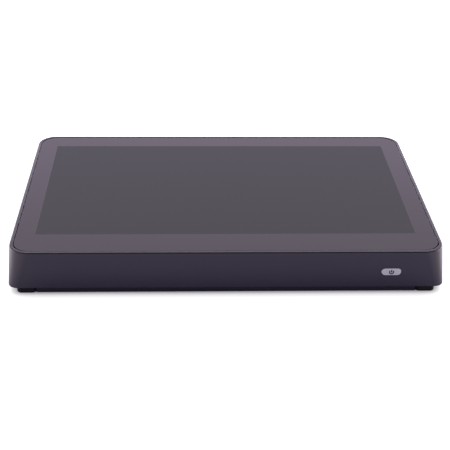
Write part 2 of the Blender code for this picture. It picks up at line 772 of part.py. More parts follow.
# Chassis plate, mainboard and what is soldered to it
def make_chassis_plate():
    middle = (plate_low + plate_top) / 2
    edge = plate_half - PLATE_SHEET / 2
    path = [(-edge, plate_front, middle - PLATE_FOLD), (-edge, plate_front, middle)]
    path += [(edge, plate_front, middle), (edge, plate_front, middle - PLATE_FOLD)]
    bm = bmesh.new()
    add_sheet(bm, path, (0, board_rear - plate_front, 0))
    plate = piece("chassis_plate", bm, "sheet_steel", origin=(0, plate_front, middle))
    thicken(plate, PLATE_SHEET)

    bm = bmesh.new()
    near = screw_x - post_radius - POST_CLEARANCE
    front = screw_y - post_radius - POST_CLEARANCE
    for side, _ in SIDES:
        ends = sorted((side * near, side * (plate_half + CUT)))
        low = (ends[0], front, plate_low - PLATE_FOLD - CUT)
        add_box(bm, low, (ends[1], board_rear + CUT, plate_top + CUT))
    cut(plate, "plate_corners", bm)

    bm = bmesh.new()
    inset = BOARD_HOLE_INSET
    for across in (board_left + inset, (board_left + board_right) / 2, board_right - inset):
        for along in (board_front + inset, board_rear - inset):
            low, high = board_top + SEAT, (plate_low + plate_top) / 2
            add_drum(bm, (across, along), STANDOFF_RADIUS, low, high, steps=SMALL_ROUND_STEPS)
    join(plate, "stand_offs", bm)


edge_socket_low = board_low - EDGE_SOCKET_HEIGHT
edge_card_low = edge_socket_low + CARD_THICKNESS + SEAT
EDGE_CARDS = [("storage", STORAGE_LENGTH, storage_front), ("wireless", WIRELESS_LENGTH, wireless_front)]


def make_mainboard():
    bm = bmesh.new()
    add_box(bm, (board_left, board_front, board_low), (board_right, board_rear, board_top))
    origin = (board_left, board_front, board_low)
    board = piece("mainboard", bm, "board_laminate", origin=origin)

    bm = bmesh.new()
    middle = (board_low + board_top) / 2
    plug = DISPLAY_CABLE_WIDTH / 2 + PANEL_GAP
    low = (DISPLAY_CABLE_X - plug, board_front, middle)
    high = (DISPLAY_CABLE_X + plug, board_front + CABLE_SOCKET_DEPTH, board_top + CABLE_SOCKET_HEIGHT)
    add_box(bm, low, high)
    for index in range(COILS):
        left = index * COIL_PITCH - sink_half / 2
        low = (left, sink_half + CARD_MARGIN, board_low - COIL_HEIGHT)
        add_box(bm, low, (left + COIL_WIDTH, sink_half + CARD_MARGIN + COIL_WIDTH, middle))
    for _, length, front in EDGE_CARDS:
        right = card_left + length - CARD_ENTRY + EDGE_SOCKET_DEPTH
        low = (card_left + length - CARD_ENTRY, front - CARD_THICKNESS, edge_socket_low)
        add_box(bm, low, (right, front + STORAGE_WIDTH + CARD_THICKNESS, middle))
        nut = (card_left + STANDOFF_RADIUS, front + STORAGE_WIDTH / 2)
        low = edge_card_low + CARD_THICKNESS + SEAT
        add_drum(bm, nut, STANDOFF_RADIUS, low, middle, steps=SMALL_ROUND_STEPS)
        left = right + CARD_GAP
        add_box(bm, (left, front, board_low - CHIP_HEIGHT), (left + CHIP_WIDTH, front + CHIP_WIDTH, middle))
    join(board, "soldered_parts", bm)

    bm = bmesh.new()
    for _, length, front in EDGE_CARDS:
        low = (card_left, front - SEAT, edge_card_low - SEAT)
        rear, top = front + STORAGE_WIDTH + SEAT, edge_card_low + CARD_THICKNESS + SEAT
        add_box(bm, low, (card_left + length + SEAT, rear, top))
    cut(board, "card_slots", bm)


def make_edge_cards():
    for word, length, front in EDGE_CARDS:
        high = edge_card_low + CARD_THICKNESS
        bm = bmesh.new()
        add_box(bm, (card_left, front, edge_card_low), (card_left + length, front + STORAGE_WIDTH, high))
        name = "storage_drive" if word == "storage" else "wireless_card"
        card = piece(name, bm, "board_laminate", origin=(card_left + length, front, edge_card_low))
        bm = bmesh.new()
        left = card_left + 2 * STANDOFF_RADIUS + SEAT
        while left + CHIP_WIDTH < card_left + length - CARD_ENTRY - CARD_THICKNESS:
            low = (left, front + CARD_MARGIN, edge_card_low - CARD_CHIP_HEIGHT)
            rear, top = front + STORAGE_WIDTH - CARD_MARGIN, edge_card_low + CARD_THICKNESS / 2
            add_box(bm, low, (left + CHIP_WIDTH, rear, top))
            left += CARD_CHIP_PITCH
        join(card, f"{word}_chips", bm)


def make_memory():
    left = card_left + MEMORY_ARM + SEAT
    right = left + MEMORY_LENGTH
    rear = memory_front + MEMORY_DEPTH
    bar = rear - CARD_ENTRY
    card_low = memory_low + (MEMORY_SOCKET_HEIGHT - CARD_THICKNESS) / 2
    bm = bmesh.new()
    ends = (left - SEAT - MEMORY_ARM, right + SEAT + MEMORY_ARM)
    add_box(bm, (ends[0], bar, memory_low), (ends[1], bar + MEMORY_SOCKET_DEPTH, socket_top))
    socket = piece("memory_socket", bm, "switch_plastic", origin=(left, bar, socket_top))
    bm = bmesh.new()
    add_box(bm, (ends[0], memory_front, memory_low), (left - SEAT, bar + CARD_ENTRY, socket_top))
    add_box(bm, (right + SEAT, memory_front, memory_low), (ends[1], bar + CARD_ENTRY, socket_top))
    join(socket, "memory_arms", bm)
    bm = bmesh.new()
    low = (left - SEAT, bar - CUT, card_low - SEAT)
    add_box(bm, low, (right + SEAT, rear + SEAT, card_low + CARD_THICKNESS + SEAT))
    cut(socket, "memory_slot", bm)

    bm = bmesh.new()
    add_box(bm, (left, memory_front, card_low), (right, rear, card_low + CARD_THICKNESS))
    module = piece("memory_module", bm, "board_laminate", origin=(left, rear, card_low))
    bm = bmesh.new()
    chip = left + CARD_MARGIN
    while chip + CHIP_WIDTH < right - SEAT:
        low = (chip, memory_front + CARD_MARGIN, card_low - CARD_CHIP_HEIGHT)
        add_box(bm, low, (chip + CHIP_WIDTH, bar - CARD_MARGIN, card_low + CARD_THICKNESS / 2))
        chip += MEMORY_CHIP_PITCH
    join(module, "memory_chips", bm)


def make_processor_and_sink():
    half = PROCESSOR_WIDTH / 2
    low = socket_top - PROCESSOR_HEIGHT
    bm = bmesh.new()
    add_box(bm, (sink_middle - half, -half, low), (sink_middle + half, half, socket_top))
    piece("processor", bm, "chip_resin", origin=(sink_middle, 0, socket_top))
    high = low - SEAT
    low = high - PAD_HEIGHT
    half -= SEAT
    bm = bmesh.new()
    add_box(bm, (sink_middle - half, -half, low), (sink_middle + half, half, high))
    piece("thermal_pad", bm, "pad_silicone", origin=(sink_middle, 0, high))

    high = low - SEAT
    low = floor_top + SINK_GROUND_GAP
    bm = bmesh.new()
    add_box(bm, (sink_left, -sink_half, low), (sink_half, sink_half, high))
    sink = piece("heat_sink", bm, "fin_aluminium", origin=(sink_middle, 0, high))
    grooves = int((sink_half - sink_left - FIN) / (FIN + FIN_GAP))
    left = sink_middle - (grooves * (FIN + FIN_GAP) - FIN) / 2
    bm = bmesh.new()
    for index in range(grooves):
        start = left + index * (FIN + FIN_GAP)
        far = (start + FIN_GAP, sink_half + CUT, high - SINK_BASE)
        add_box(bm, (start, -sink_half - CUT, low - CUT), far)
    cut(sink, "fin_grooves", bm)


def make_coin_cell():
    outer = CELL_RADIUS + SEAT + HOLDER_WALL
    centre = (board_right - CARD_MARGIN - outer, sink_half + CELL_FROM_SINK + outer)
    cell_top = socket_top - HOLDER_FLOOR - SEAT
    cell_low = cell_top - CELL_HEIGHT
    holder_low = cell_low + CELL_SHOW
    profile = [(0, socket_top), (outer, socket_top), (outer, holder_low), (outer - HOLDER_WALL, holder_low)]
    profile += [(outer - HOLDER_WALL, cell_top + SEAT), (0, cell_top + SEAT)]
    turned_piece("coin_cell_holder", profile, "switch_plastic", centre)
    edge = CELL_RADIUS - GLASS_EDGE
    profile = [(0, cell_top), (CELL_RADIUS, cell_top), (CELL_RADIUS, cell_low + GLASS_EDGE), (edge, cell_low)]
    turned_piece("coin_cell", profile + [(0, cell_low)], "cell_steel", centre)


# Rear sockets and their bracket
socket_face = bracket_face + SOCKET_PROUD


def add_barrel(bm, across, height, radius, near, far, steps=SMALL_ROUND_STEPS):
    """A cylinder that lies along +Y."""
    matrix = Matrix.Translation((across, (near + far) / 2, height)) @ Matrix.Rotation(math.pi / 2, 4, "X")
    bmesh.ops.create_cone(
        bm, cap_ends=True, segments=steps, radius1=radius, radius2=radius, depth=far - near, matrix=matrix
    )


def add_mouth(bm, centre, size, near, far):
    """A box on its centre across and up, along +Y between two depths."""
    across, height = centre
    half_width, half_height = size[0] / 2, size[1] / 2
    low = (across - half_width, near, height - half_height)
    add_box(bm, low, (across + half_width, far, height + half_height))


def make_modular_socket(socket, centre, mouth, back):
    bm = bmesh.new()
    add_mouth(bm, centre, mouth, back, socket_face + CUT)
    cut(socket, f"{socket.name}_mouth", bm)
    bm = bmesh.new()
    latch = (centre[0], centre[1] - (mouth[1] + LATCH_SLOT[1]) / 2)
    add_mouth(bm, latch, (LATCH_SLOT[0], LATCH_SLOT[1] + 2 * SEAT), back, socket_face + CUT)
    cut(socket, f"{socket.name}_latch", bm)


def make_tongue_socket(socket, centres, mouth, back):
    bm = bmesh.new()
    for centre in centres:
        add_mouth(bm, centre, mouth, back, socket_face + CUT)
    cut(socket, f"{socket.name}_mouth", bm)
    bm = bmesh.new()
    for centre in centres:
        tongue = (mouth[0] - 2 * TONGUE, TONGUE)
        add_mouth(bm, centre, tongue, back - SOCKET_FLOOR / 2, socket_face - TONGUE_SHORT)
    join(socket, f"{socket.name}_tongue", bm)


def make_serial_socket(socket, centre, back):
    """The shell with nine pins in two rows, and a threaded nut on each side."""
    across, height = centre
    tip = socket_face + SERIAL_REACH
    half_width, half_height = SERIAL_SHELL_WIDTH / 2, SERIAL_SHELL_HEIGHT / 2
    low, high = (across - half_width, -height - half_height), (across + half_width, -height + half_height)
    bm = bmesh.new()
    levels = [(socket_face - SOCKET_FLOOR / 2, 0), (tip, 0)]
    add_rounded(bm, low, high, SERIAL_SHELL_ROUND, levels, steps=SMALL_CORNER_STEPS)
    face_front(bm)
    for side, _ in SIDES:
        spot = across + side * SERIAL_NUT_PITCH / 2
        add_barrel(bm, spot, height, SERIAL_NUT, socket_face - SOCKET_FLOOR / 2, tip, steps=6)
    join(socket, "serial_shell", bm)
    bm = bmesh.new()
    levels = [(back, -SERIAL_SHELL), (tip + CUT, -SERIAL_SHELL)]
    add_rounded(bm, low, high, SERIAL_SHELL_ROUND, levels, steps=SMALL_CORNER_STEPS)
    face_front(bm)
    for side, _ in SIDES:
        spot = across + side * SERIAL_NUT_PITCH / 2
        add_barrel(bm, spot, height, SERIAL_NUT / 2, socket_face, tip + CUT)
    cut(socket, "serial_hollow", bm)
    bm = bmesh.new()
    for row, count in ((1, 5), (-1, 4)):
        for index in range(count):
            spot = across + (index - (count - 1) / 2) * SERIAL_PIN_PITCH
            rise = height + row * SERIAL_PIN_ROW
            add_barrel(bm, spot, rise, SERIAL_PIN, back - SOCKET_FLOOR / 2, tip - TONGUE_SHORT, steps=6)
    join(socket, "serial_pins", bm)


def make_sockets():
    left = row_left
    bracket_cuts = bmesh.new()
    for name, (width, height, depth), finish in SOCKET_ROW:
        low = (left, socket_face - depth, socket_top - height)
        high = (left + width, socket_face, socket_top)
        bm = bmesh.new()
        add_box(bm, low, high)
        centre = (left + width / 2, socket_top - height / 2)
        socket = piece(name, bm, finish, origin=(centre[0], socket_face, centre[1]))
        back = socket_face - depth + SOCKET_FLOOR
        if name == "network_socket":
            make_modular_socket(socket, centre, NETWORK_MOUTH, back)
        elif name == "drawer_socket":
            make_modular_socket(socket, centre, DRAWER_MOUTH, back)
        elif name == "video_socket":
            make_tongue_socket(socket, [centre], VIDEO_MOUTH, back)
        elif name == "serial_socket":
            make_serial_socket(socket, centre, back)
        elif name == "audio_socket":
            bm = bmesh.new()
            add_barrel(bm, *centre, AUDIO_RADIUS, back, socket_face + CUT)
            cut(socket, "audio_hole", bm)
        elif name == "dc_inlet":
            bm = bmesh.new()
            add_barrel(bm, *centre, INLET_RADIUS, back, socket_face + CUT, steps=ROUND_STEPS)
            cut(socket, "inlet_hole", bm)
            bm = bmesh.new()
            add_barrel(bm, *centre, INLET_PIN, back - SOCKET_FLOOR / 2, socket_face - TONGUE_SHORT)
            join(socket, "inlet_pin", bm)
        else:
            pair = [(centre[0], centre[1] + step * height / 4) for step in (-1, 1)]
            make_tongue_socket(socket, pair, PERIPHERAL_MOUTH, back)
        add_mouth(
            bracket_cuts, centre, (width + 2 * SEAT, height + 2 * SEAT),
            bracket_face - BRACKET_SHEET - SEAT, bracket_face + CUT,
        )
        left += width + socket_gap

    middle = bracket_face - BRACKET_SHEET / 2
    top = plate_low - SEAT - BRACKET_SHEET / 2
    start = row_left - BRACKET_END
    path = [(start, middle, bracket_low), (start, middle, top), (start, middle - BRACKET_FLANGE, top)]
    bm = bmesh.new()
    add_sheet(bm, path, (row_width + 2 * BRACKET_END, 0, 0))
    bracket = piece("socket_bracket", bm, "sheet_steel", origin=(start, middle, bracket_low))
    thicken(bracket, BRACKET_SHEET)
    cut(bracket, "socket_cutouts", bracket_cuts)


# Power button, its guide and its switch, in the frame that leans with the front wall
flange_front = WALL + SEAT
flange_back = flange_front + BUTTON_FLANGE_DEPTH
guide_pocket = flange_back + BUTTON_TRAVEL + SEAT
guide_back = guide_pocket + GUIDE_FLOOR
stem_tip = guide_back + SEAT
plunger_tip = stem_tip + SEAT
plunger_end = plunger_tip + PLUNGER_LENGTH
switch_front = plunger_end - PLUNGER_GUIDED
switch_back = switch_front + SWITCH_DEPTH
switch_board_front = switch_back + SEAT


def make_power_button():
    face = -BUTTON_PROUD
    bm = bmesh.new()
    levels = [(face, -BUTTON_EDGE), (face + BUTTON_EDGE / 3, -BUTTON_EDGE / 3), (face + BUTTON_EDGE, 0)]
    add_pill(bm, 0, levels + [((flange_front + flange_back) / 2, 0)])
    face_front(bm)
    button = piece("power_button", bm, "button_silver", parent=button_frame)
    bm = bmesh.new()
    add_pill(bm, BUTTON_FLANGE, [(flange_front, 0), (flange_back, 0)])
    face_front(bm)
    join(button, "button_flange", bm, button_frame)
    bm = bmesh.new()
    add_barrel(bm, 0, 0, STEM_RADIUS, flange_front + SEAT, stem_tip)
    join(button, "button_stem", bm, button_frame)


def make_button_guide():
    half_width, half_height = GUIDE_WIDTH / 2, GUIDE_HEIGHT / 2
    bm = bmesh.new()
    levels = [(flange_front, 0), (guide_back, 0)]
    low, high = (-half_width, -half_height), (half_width, half_height)
    add_rounded(bm, low, high, GUIDE_CORNER, levels, steps=SMALL_CORNER_STEPS)
    face_front(bm)
    guide = piece("button_guide", bm, "switch_plastic", parent=button_frame)
    bm = bmesh.new()
    for side, _ in SIDES:
        ends = sorted((side * half_width, side * (half_width - GUIDE_POST)))
        low = (ends[0], guide_back - GUIDE_FLOOR / 2, -half_height / 2)
        add_box(bm, low, (ends[1], switch_board_front - SEAT, half_height / 2))
    join(guide, "guide_posts", bm, button_frame)
    bm = bmesh.new()
    add_pill(bm, BUTTON_FLANGE + BUTTON_GAP, [(flange_front - CUT, 0), (guide_pocket, 0)])
    face_front(bm)
    cut(guide, "guide_pocket", bm, button_frame)
    bm = bmesh.new()
    add_barrel(bm, 0, 0, STEM_RADIUS + SEAT, flange_front, guide_back + CUT)
    cut(guide, "guide_bore", bm, button_frame)


def make_switch():
    half = SWITCH_WIDTH / 2
    bm = bmesh.new()
    add_box(bm, (-half, switch_front, -half), (half, switch_back, half))
    body = piece("switch_body", bm, "switch_plastic", parent=button_frame)
    bm = bmesh.new()
    add_barrel(bm, 0, 0, PLUNGER_RADIUS + SEAT, switch_front - CUT, plunger_end + BUTTON_TRAVEL + SEAT)
    cut(body, "plunger_bore", bm, button_frame)
    bm = bmesh.new()
    add_barrel(bm, 0, 0, PLUNGER_RADIUS, plunger_tip, plunger_end)
    piece("switch_plunger", bm, "button_silver", parent=button_frame)
    half_width, half_height = GUIDE_WIDTH / 2, GUIDE_HEIGHT / 2
    bm = bmesh.new()
    back = switch_board_front + SWITCH_BOARD
    add_box(bm, (-half_width, switch_board_front, -half_height), (half_width, back, half_height))
    piece("switch_board", bm, "board_laminate", parent=button_frame)


# Bottom cover, hatch, feet and screws
def add_slot_field(bm, left, right, front, rear, pitch, low, high):
    """Rows of slots along X, as many as fit at this pitch, centred between front and rear."""
    rows = int((rear - front - VENT_WIDTH) / pitch) + 1
    start = (front + rear - (rows - 1) * pitch) / 2
    for row in range(rows):
        middle = start + row * pitch
        corner = (left, middle - VENT_WIDTH / 2)
        far = (right, middle + VENT_WIDTH / 2)
        add_rounded(bm, corner, far, VENT_WIDTH / 2 - SEAT, [(low, 0), (high, 0)], steps=1)


hatch_shelf = floor_low + HATCH_THICKNESS + SEAT


def make_bottom_cover():
    bm = bmesh.new()
    inset = WALL + SEAT
    add_wall_plan(bm, [(lid_low, flare(lid_low) - inset), (lid_top, flare(lid_top) - inset)])
    cover = piece("bottom_cover", bm, "cover_plastic", origin=(0, 0, floor_low))

    bm = bmesh.new()
    low, high = (-plinth_half_x, -plinth_half_y), (plinth_half_x, plinth_half_y)
    levels = rounded_levels(floor_low, lid_low, PLINTH_ROUND, PLINTH_ROUND)[: EDGE_STEPS + 1]
    levels.append(((lid_low + lid_top) / 2, 0))
    add_rounded(bm, low, high, FOOT_CORNER, levels, steps=SMALL_CORNER_STEPS)
    join(cover, "plinth", bm)

    pocket = FOOT_WIDTH + SEAT
    bm = bmesh.new()
    for side, end, _ in CORNERS:
        across = sorted((side * (plinth_half_x + CUT), side * (plinth_half_x - pocket)))
        along = sorted((end * (plinth_half_y + CUT), end * (plinth_half_y - pocket)))
        add_box(bm, (across[0], along[0], floor_low - CUT), (across[1], along[1], lid_low))
    cut(cover, "foot_pockets", bm)

    wall = PLINTH_WALL
    for name, half_width, half_depth in (
        ("plinth_hollow_wide", plinth_half_x - wall, plinth_half_y - pocket - wall),
        ("plinth_hollow_deep", plinth_half_x - pocket - wall, plinth_half_y - wall),
    ):
        bm = bmesh.new()
        add_box(bm, (-half_width, -half_depth, floor_top), (half_width, half_depth, lid_top + CUT))
        cut(cover, name, bm)

    bm = bmesh.new()
    insert_top = floor_low + STAND_PAD_RELIEF + INSERT_LENGTH + 2 * SEAT
    boss_top = insert_top + STAND_BOSS_FLOOR
    middle = (floor_low + floor_top) / 2
    for side, end, _ in CORNERS:
        add_drum(bm, (side * screw_x, end * screw_y), well_outer, middle, well_top)
        add_drum(bm, (side * STAND_PITCH / 2, end * STAND_PITCH / 2), boss_radius, middle, boss_top)
    join(cover, "wells_and_bosses", bm)

    bm = bmesh.new()
    reach = STAND_PITCH / 2 + boss_radius + STAND_PAD_MARGIN
    levels = [(floor_low - CUT, 0), (floor_low + STAND_PAD_RELIEF, 0)]
    add_rounded(bm, (-reach, -reach), (reach, reach), STAND_PAD_CORNER, levels, steps=SMALL_CORNER_STEPS)
    half = HATCH_DEPTH / 2 + SEAT
    low, high = (hatch_left - SEAT, -half), (hatch_right + SEAT, half)
    levels = [(floor_low - CUT, 0), (hatch_shelf, 0)]
    add_rounded(bm, low, high, HATCH_CORNER + SEAT, levels, steps=SMALL_CORNER_STEPS)
    cut(cover, "hatch_and_stand_recess", bm)

    bm = bmesh.new()
    half, land = HATCH_DEPTH / 2 - HATCH_LAND, HATCH_LAND
    add_box(bm, (hatch_left + land, -half, floor_low), (hatch_right - land, half, floor_top + CUT))
    cut(cover, "hatch_opening", bm)

    bm = bmesh.new()
    boss = SHANK_RADIUS + SEAT + POST_WALL
    for end in (-1, 1):
        spot = (hatch_right - HATCH_SCREW_INSET, end * hatch_screw_y)
        add_drum(bm, spot, boss, hatch_shelf, floor_top + HATCH_BOSS_RISE, steps=SMALL_ROUND_STEPS)
    join(cover, "hatch_bosses", bm)

    bm = bmesh.new()
    hole = SHANK_RADIUS + SEAT
    insert_hole = INSERT_RADIUS + SEAT
    for side, end, _ in CORNERS:
        insert_spot = (side * STAND_PITCH / 2, end * STAND_PITCH / 2)
        add_drum(bm, insert_spot, insert_hole, floor_low - CUT, insert_top)
        spot = (side * screw_x, end * screw_y)
        add_drum(bm, spot, WELL_RADIUS, floor_low - CUT, well_top - WELL_SHELF)
        peg_hole = (side * foot_x, end * foot_y)
        add_drum(bm, peg_hole, PEG_RADIUS + SEAT, lid_low - CUT, lid_top + CUT, steps=SMALL_ROUND_STEPS)
    for end in (-1, 1):
        spot = (hatch_right - HATCH_SCREW_INSET, end * hatch_screw_y)
        high = floor_top + HATCH_BOSS_RISE - POST_WALL
        add_drum(bm, spot, hole, hatch_shelf - CUT, high, steps=SMALL_ROUND_STEPS)
    cut(cover, "wells_and_holes", bm)

    bm = bmesh.new()
    for side, end, _ in CORNERS:
        spot = (side * screw_x, end * screw_y)
        low, high = well_top - WELL_SHELF - SEAT, well_top + CUT
        add_drum(bm, spot, hole, low, high, steps=SMALL_ROUND_STEPS)
    cut(cover, "screw_holes", bm)

    bm = bmesh.new()
    low, high = floor_low - CUT, floor_top + CUT
    vent_end = VENT_BRIDGE / 2 + VENT_LENGTH
    for left in (-vent_end, VENT_BRIDGE / 2):
        add_slot_field(bm, left, left + VENT_LENGTH, -sink_half, sink_half, VENT_PITCH, low, high)
    for column in range(2):
        left = side_vent_left + column * (side_vent_length + VENT_BRIDGE)
        ends = (left, left + side_vent_length)
        add_slot_field(bm, *ends, -sink_half, sink_half, VENT_PITCH, low, high)
    front = -SPEAKER_FORWARD - GRILLE_PITCH * GRILLE_SLOTS / 2
    rear = front + GRILLE_PITCH * GRILLE_SLOTS
    for side, _ in SIDES:
        middle = side * (speaker_inner + speaker_outer) / 2
        ends = (middle - GRILLE_LENGTH / 2, middle + GRILLE_LENGTH / 2)
        add_slot_field(bm, *ends, front, rear, GRILLE_PITCH, low, high)
    cut(cover, "vents_and_grilles", bm)


def make_hatch():
    half = HATCH_DEPTH / 2
    bm = bmesh.new()
    levels = [(floor_low, 0), (floor_low + HATCH_THICKNESS, 0)]
    add_rounded(bm, (hatch_left, -half), (hatch_right, half), HATCH_CORNER, levels, steps=SMALL_CORNER_STEPS)
    hatch = piece("service_hatch", bm, "cover_plastic", origin=(hatch_left, 0, floor_low))
    root = hatch_left + HATCH_LAND + SEAT
    tab_low = floor_top + SEAT
    for end, word in ((-1, "front"), (1, "rear")):
        middle = end * hatch_tab_y
        along = (middle - HATCH_TAB_WIDTH / 2, middle + HATCH_TAB_WIDTH / 2)
        bm = bmesh.new()
        low = (root, along[0], floor_low + HATCH_THICKNESS / 2)
        add_box(bm, low, (root + HATCH_TAB, along[1], tab_low + HATCH_TAB))
        join(hatch, f"hatch_riser_{word}", bm)
        bm = bmesh.new()
        low = (root - HATCH_TAB_REACH, along[0], tab_low)
        add_box(bm, low, (root + HATCH_TAB, along[1], tab_low + HATCH_TAB))
        join(hatch, f"hatch_tab_{word}", bm)
    for end, word in ((-1, "front"), (1, "rear")):
        spot = (hatch_right - HATCH_SCREW_INSET, end * hatch_screw_y)
        bm = bmesh.new()
        wide, low, high = HEAD_RADIUS + SEAT, floor_low - SEAT, floor_low + HATCH_THICKNESS + SEAT
        add_drum(bm, spot, wide + SEAT / 2, low, high, SHANK_RADIUS + SEAT, SMALL_ROUND_STEPS)
        cut(hatch, f"hatch_screw_hole_{word}", bm)
        top, neck, face = hatch_shelf + HATCH_SHANK_LENGTH, floor_low + HATCH_THICKNESS, floor_low + SEAT / 3
        profile = [(0, top), (SHANK_RADIUS, top), (SHANK_RADIUS, neck), (HEAD_RADIUS, face), (0, face)]
        turned_piece(f"hatch_screw_{word}", profile, "screw_steel", spot, SMALL_ROUND_STEPS)


def make_feet():
    top = lid_low - SEAT
    half = FOOT_WIDTH / 2
    for side, end, word in CORNERS:
        centre = (side * foot_x, end * foot_y)
        low, high = (centre[0] - half, centre[1] - half), (centre[0] + half, centre[1] + half)
        bm = bmesh.new()
        levels = rounded_levels(0, top, FOOT_ROUND, FOOT_ROUND / 2)
        add_rounded(bm, low, high, FOOT_CORNER, levels, steps=SMALL_CORNER_STEPS)
        foot = piece(f"foot_{word}", bm, "foot_rubber", origin=(*centre, top))
        barb, tip = lid_top + SEAT, lid_top + SEAT + PEG_HEAD_HEIGHT
        root = top - FOOT_ROUND
        profile = [(0, tip), (PEG_TIP, tip), (PEG_RADIUS + PEG_HEAD, barb), (PEG_RADIUS, barb)]
        profile += [(PEG_RADIUS, root), (0, root)]
        peg = turned_tool(f"foot_peg_{word}", profile, centre, SMALL_ROUND_STEPS)
        combine(foot, peg, "UNION")


def make_cover_screws():
    head_top = well_top - WELL_SHELF - SEAT
    head_low = head_top - HEAD_HEIGHT
    tip = head_top + SHANK_LENGTH
    for side, end, word in CORNERS:
        spot = (side * screw_x, end * screw_y)
        profile = [(0, tip), (SHANK_RADIUS, tip), (SHANK_RADIUS, head_top), (HEAD_RADIUS, head_top)]
        profile += [(HEAD_RADIUS, head_low + HEAD_SLOT), (HEAD_RADIUS - HEAD_SLOT, head_low), (0, head_low)]
        turned_piece(f"cover_screw_{word}", profile, "screw_steel", spot, SMALL_ROUND_STEPS)


def make_stand_inserts():
    low = floor_low + STAND_PAD_RELIEF + SEAT
    high = low + INSERT_LENGTH
    for side, end, word in CORNERS:
        spot = (side * STAND_PITCH / 2, end * STAND_PITCH / 2)
        profile = [(INSERT_BORE, high), (INSERT_RADIUS, high), (INSERT_RADIUS, low), (INSERT_BORE, low)]
        turned_piece(f"stand_insert_{word}", profile, "insert_brass", spot, SMALL_ROUND_STEPS)


# Speakers, antennas, touch board and flat cables
def make_speakers():
    low = floor_top + SEAT
    high = low + SPEAKER_HEIGHT
    for side, word in SIDES:
        across = sorted((side * speaker_inner, side * speaker_outer))
        along = (-SPEAKER_FORWARD - SPEAKER_LENGTH / 2, -SPEAKER_FORWARD + SPEAKER_LENGTH / 2)
        bm = bmesh.new()
        levels = [(low, 0), (high, 0)]
        add_rounded(
            bm, (across[0], along[0]), (across[1], along[1]), SPEAKER_CORNER, levels, steps=SMALL_CORNER_STEPS
        )
        centre = (sum(across) / 2, -SPEAKER_FORWARD)
        speaker = piece(f"speaker_{word}", bm, "switch_plastic", origin=(*centre, low))
        deep = low + CONE_DEPTH
        profile = [(0, deep - CONE_DEPTH / 3), (DOME_RADIUS, deep), (CONE_RADIUS, low + CONE_DEPTH / 4)]
        profile += [(CONE_RADIUS, low - CUT), (0, low - CUT)]
        cone = turned_tool(f"speaker_cone_{word}", profile, centre)
        combine(speaker, cone, "DIFFERENCE")


def make_antennas():
    middle = (panel_front + panel_rear) / 2
    high = ledge_low - SEAT
    for side, word in SIDES:
        near = panel_half + PANEL_GAP + LEDGE_MARGIN
        far = half_x + flare(ledge_low) - WALL - LEDGE_MARGIN
        across = sorted((side * near, side * far))
        bm = bmesh.new()
        low = (across[0], middle - ANTENNA_LENGTH / 2, high - ANTENNA_THICKNESS)
        add_box(bm, low, (across[1], middle + ANTENNA_LENGTH / 2, high))
        piece(f"antenna_{word}", bm, "ribbon_film", origin=(sum(across) / 2, middle, high))


def bend(start, end, start_way, end_way):
    """A smooth bend between two points of a flat cable, leaving and arriving in the given directions."""
    start, end = Vector(start), Vector(end)
    reach = (end - start).length / 2
    handles = (start + Vector(start_way) * reach, end - Vector(end_way) * reach)
    return interpolate_bezier(start, *handles, end, 7)


def make_flat_cables(driver_plug_height):
    touch_top = plate_low - SEAT
    touch_low = touch_top - TOUCH_THICKNESS
    front = plate_front + TOUCH_INSET
    plug_height = touch_low - TOUCH_PLUG_HEIGHT / 2
    half = TOUCH_LENGTH / 2
    bm = bmesh.new()
    low = (-TOUCH_FROM_MIDDLE - half, front, touch_low)
    add_box(bm, low, (-TOUCH_FROM_MIDDLE + half, front + TOUCH_DEPTH, touch_top))
    origin = (-TOUCH_FROM_MIDDLE, front, touch_top)
    board = piece("touch_controller_board", bm, "board_laminate", origin=origin)
    bm = bmesh.new()
    plug = TOUCH_CABLE_WIDTH / 2 + PANEL_GAP
    low = (-TOUCH_FROM_MIDDLE - plug, front, touch_low - TOUCH_PLUG_HEIGHT)
    high = (-TOUCH_FROM_MIDDLE + plug, front + CABLE_SOCKET_DEPTH, (touch_low + touch_top) / 2)
    add_box(bm, low, high)
    join(board, "touch_plug", bm)

    left = -TOUCH_FROM_MIDDLE - TOUCH_CABLE_WIDTH / 2
    drop = panel_front - TOUCH_CABLE_CLEARANCE - CABLE_THICKNESS / 2
    path = [Vector((left, drop, glass_low - SEAT))]
    corner = (left, drop, plug_height + CABLE_BEND)
    path += bend(corner, (left, drop + CABLE_BEND, plug_height), (0, 0, -1), (0, 1, 0))
    path.append(Vector((left, front - SEAT, plug_height)))
    bm = bmesh.new()
    add_sheet(bm, path, (TOUCH_CABLE_WIDTH, 0, 0))
    cable = piece("touch_cable", bm, "ribbon_film", origin=(-TOUCH_FROM_MIDDLE, front, plug_height))
    thicken(cable, CABLE_THICKNESS)

    left = DISPLAY_CABLE_X - DISPLAY_CABLE_WIDTH / 2
    board_plug = board_top + CABLE_SOCKET_HEIGHT / 2
    start = (left, driver_rear + SEAT, driver_plug_height)
    dip = (left, plate_front - CABLE_BEND / 2, board_plug)
    path = bend(start, dip, (0, 1, 0), (0, 1, 0))
    path.append(Vector((left, board_front - SEAT, board_plug)))
    bm = bmesh.new()
    add_sheet(bm, path, (DISPLAY_CABLE_WIDTH, 0, 0))
    cable = piece("display_cable", bm, "ribbon_film", origin=(DISPLAY_CABLE_X, board_front, board_plug))
    thicken(cable, CABLE_THICKNESS)


make_housing()
make_glass_and_gasket()
make_rails()
make_chassis_plate()
make_mainboard()
make_edge_cards()
make_memory()
make_processor_and_sink()
make_coin_cell()
make_sockets()
make_power_button()
make_button_guide()
make_switch()
make_bottom_cover()
make_hatch()
make_feet()
make_cover_screws()
make_stand_inserts()
make_speakers()
make_antennas()
make_flat_cables(make_display())
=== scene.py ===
"""Flat shop terminal with a touch glass, lying on its rubber feet under soft studio light."""

import math

import bmesh
import bpy
from mathutils import Matrix, Vector


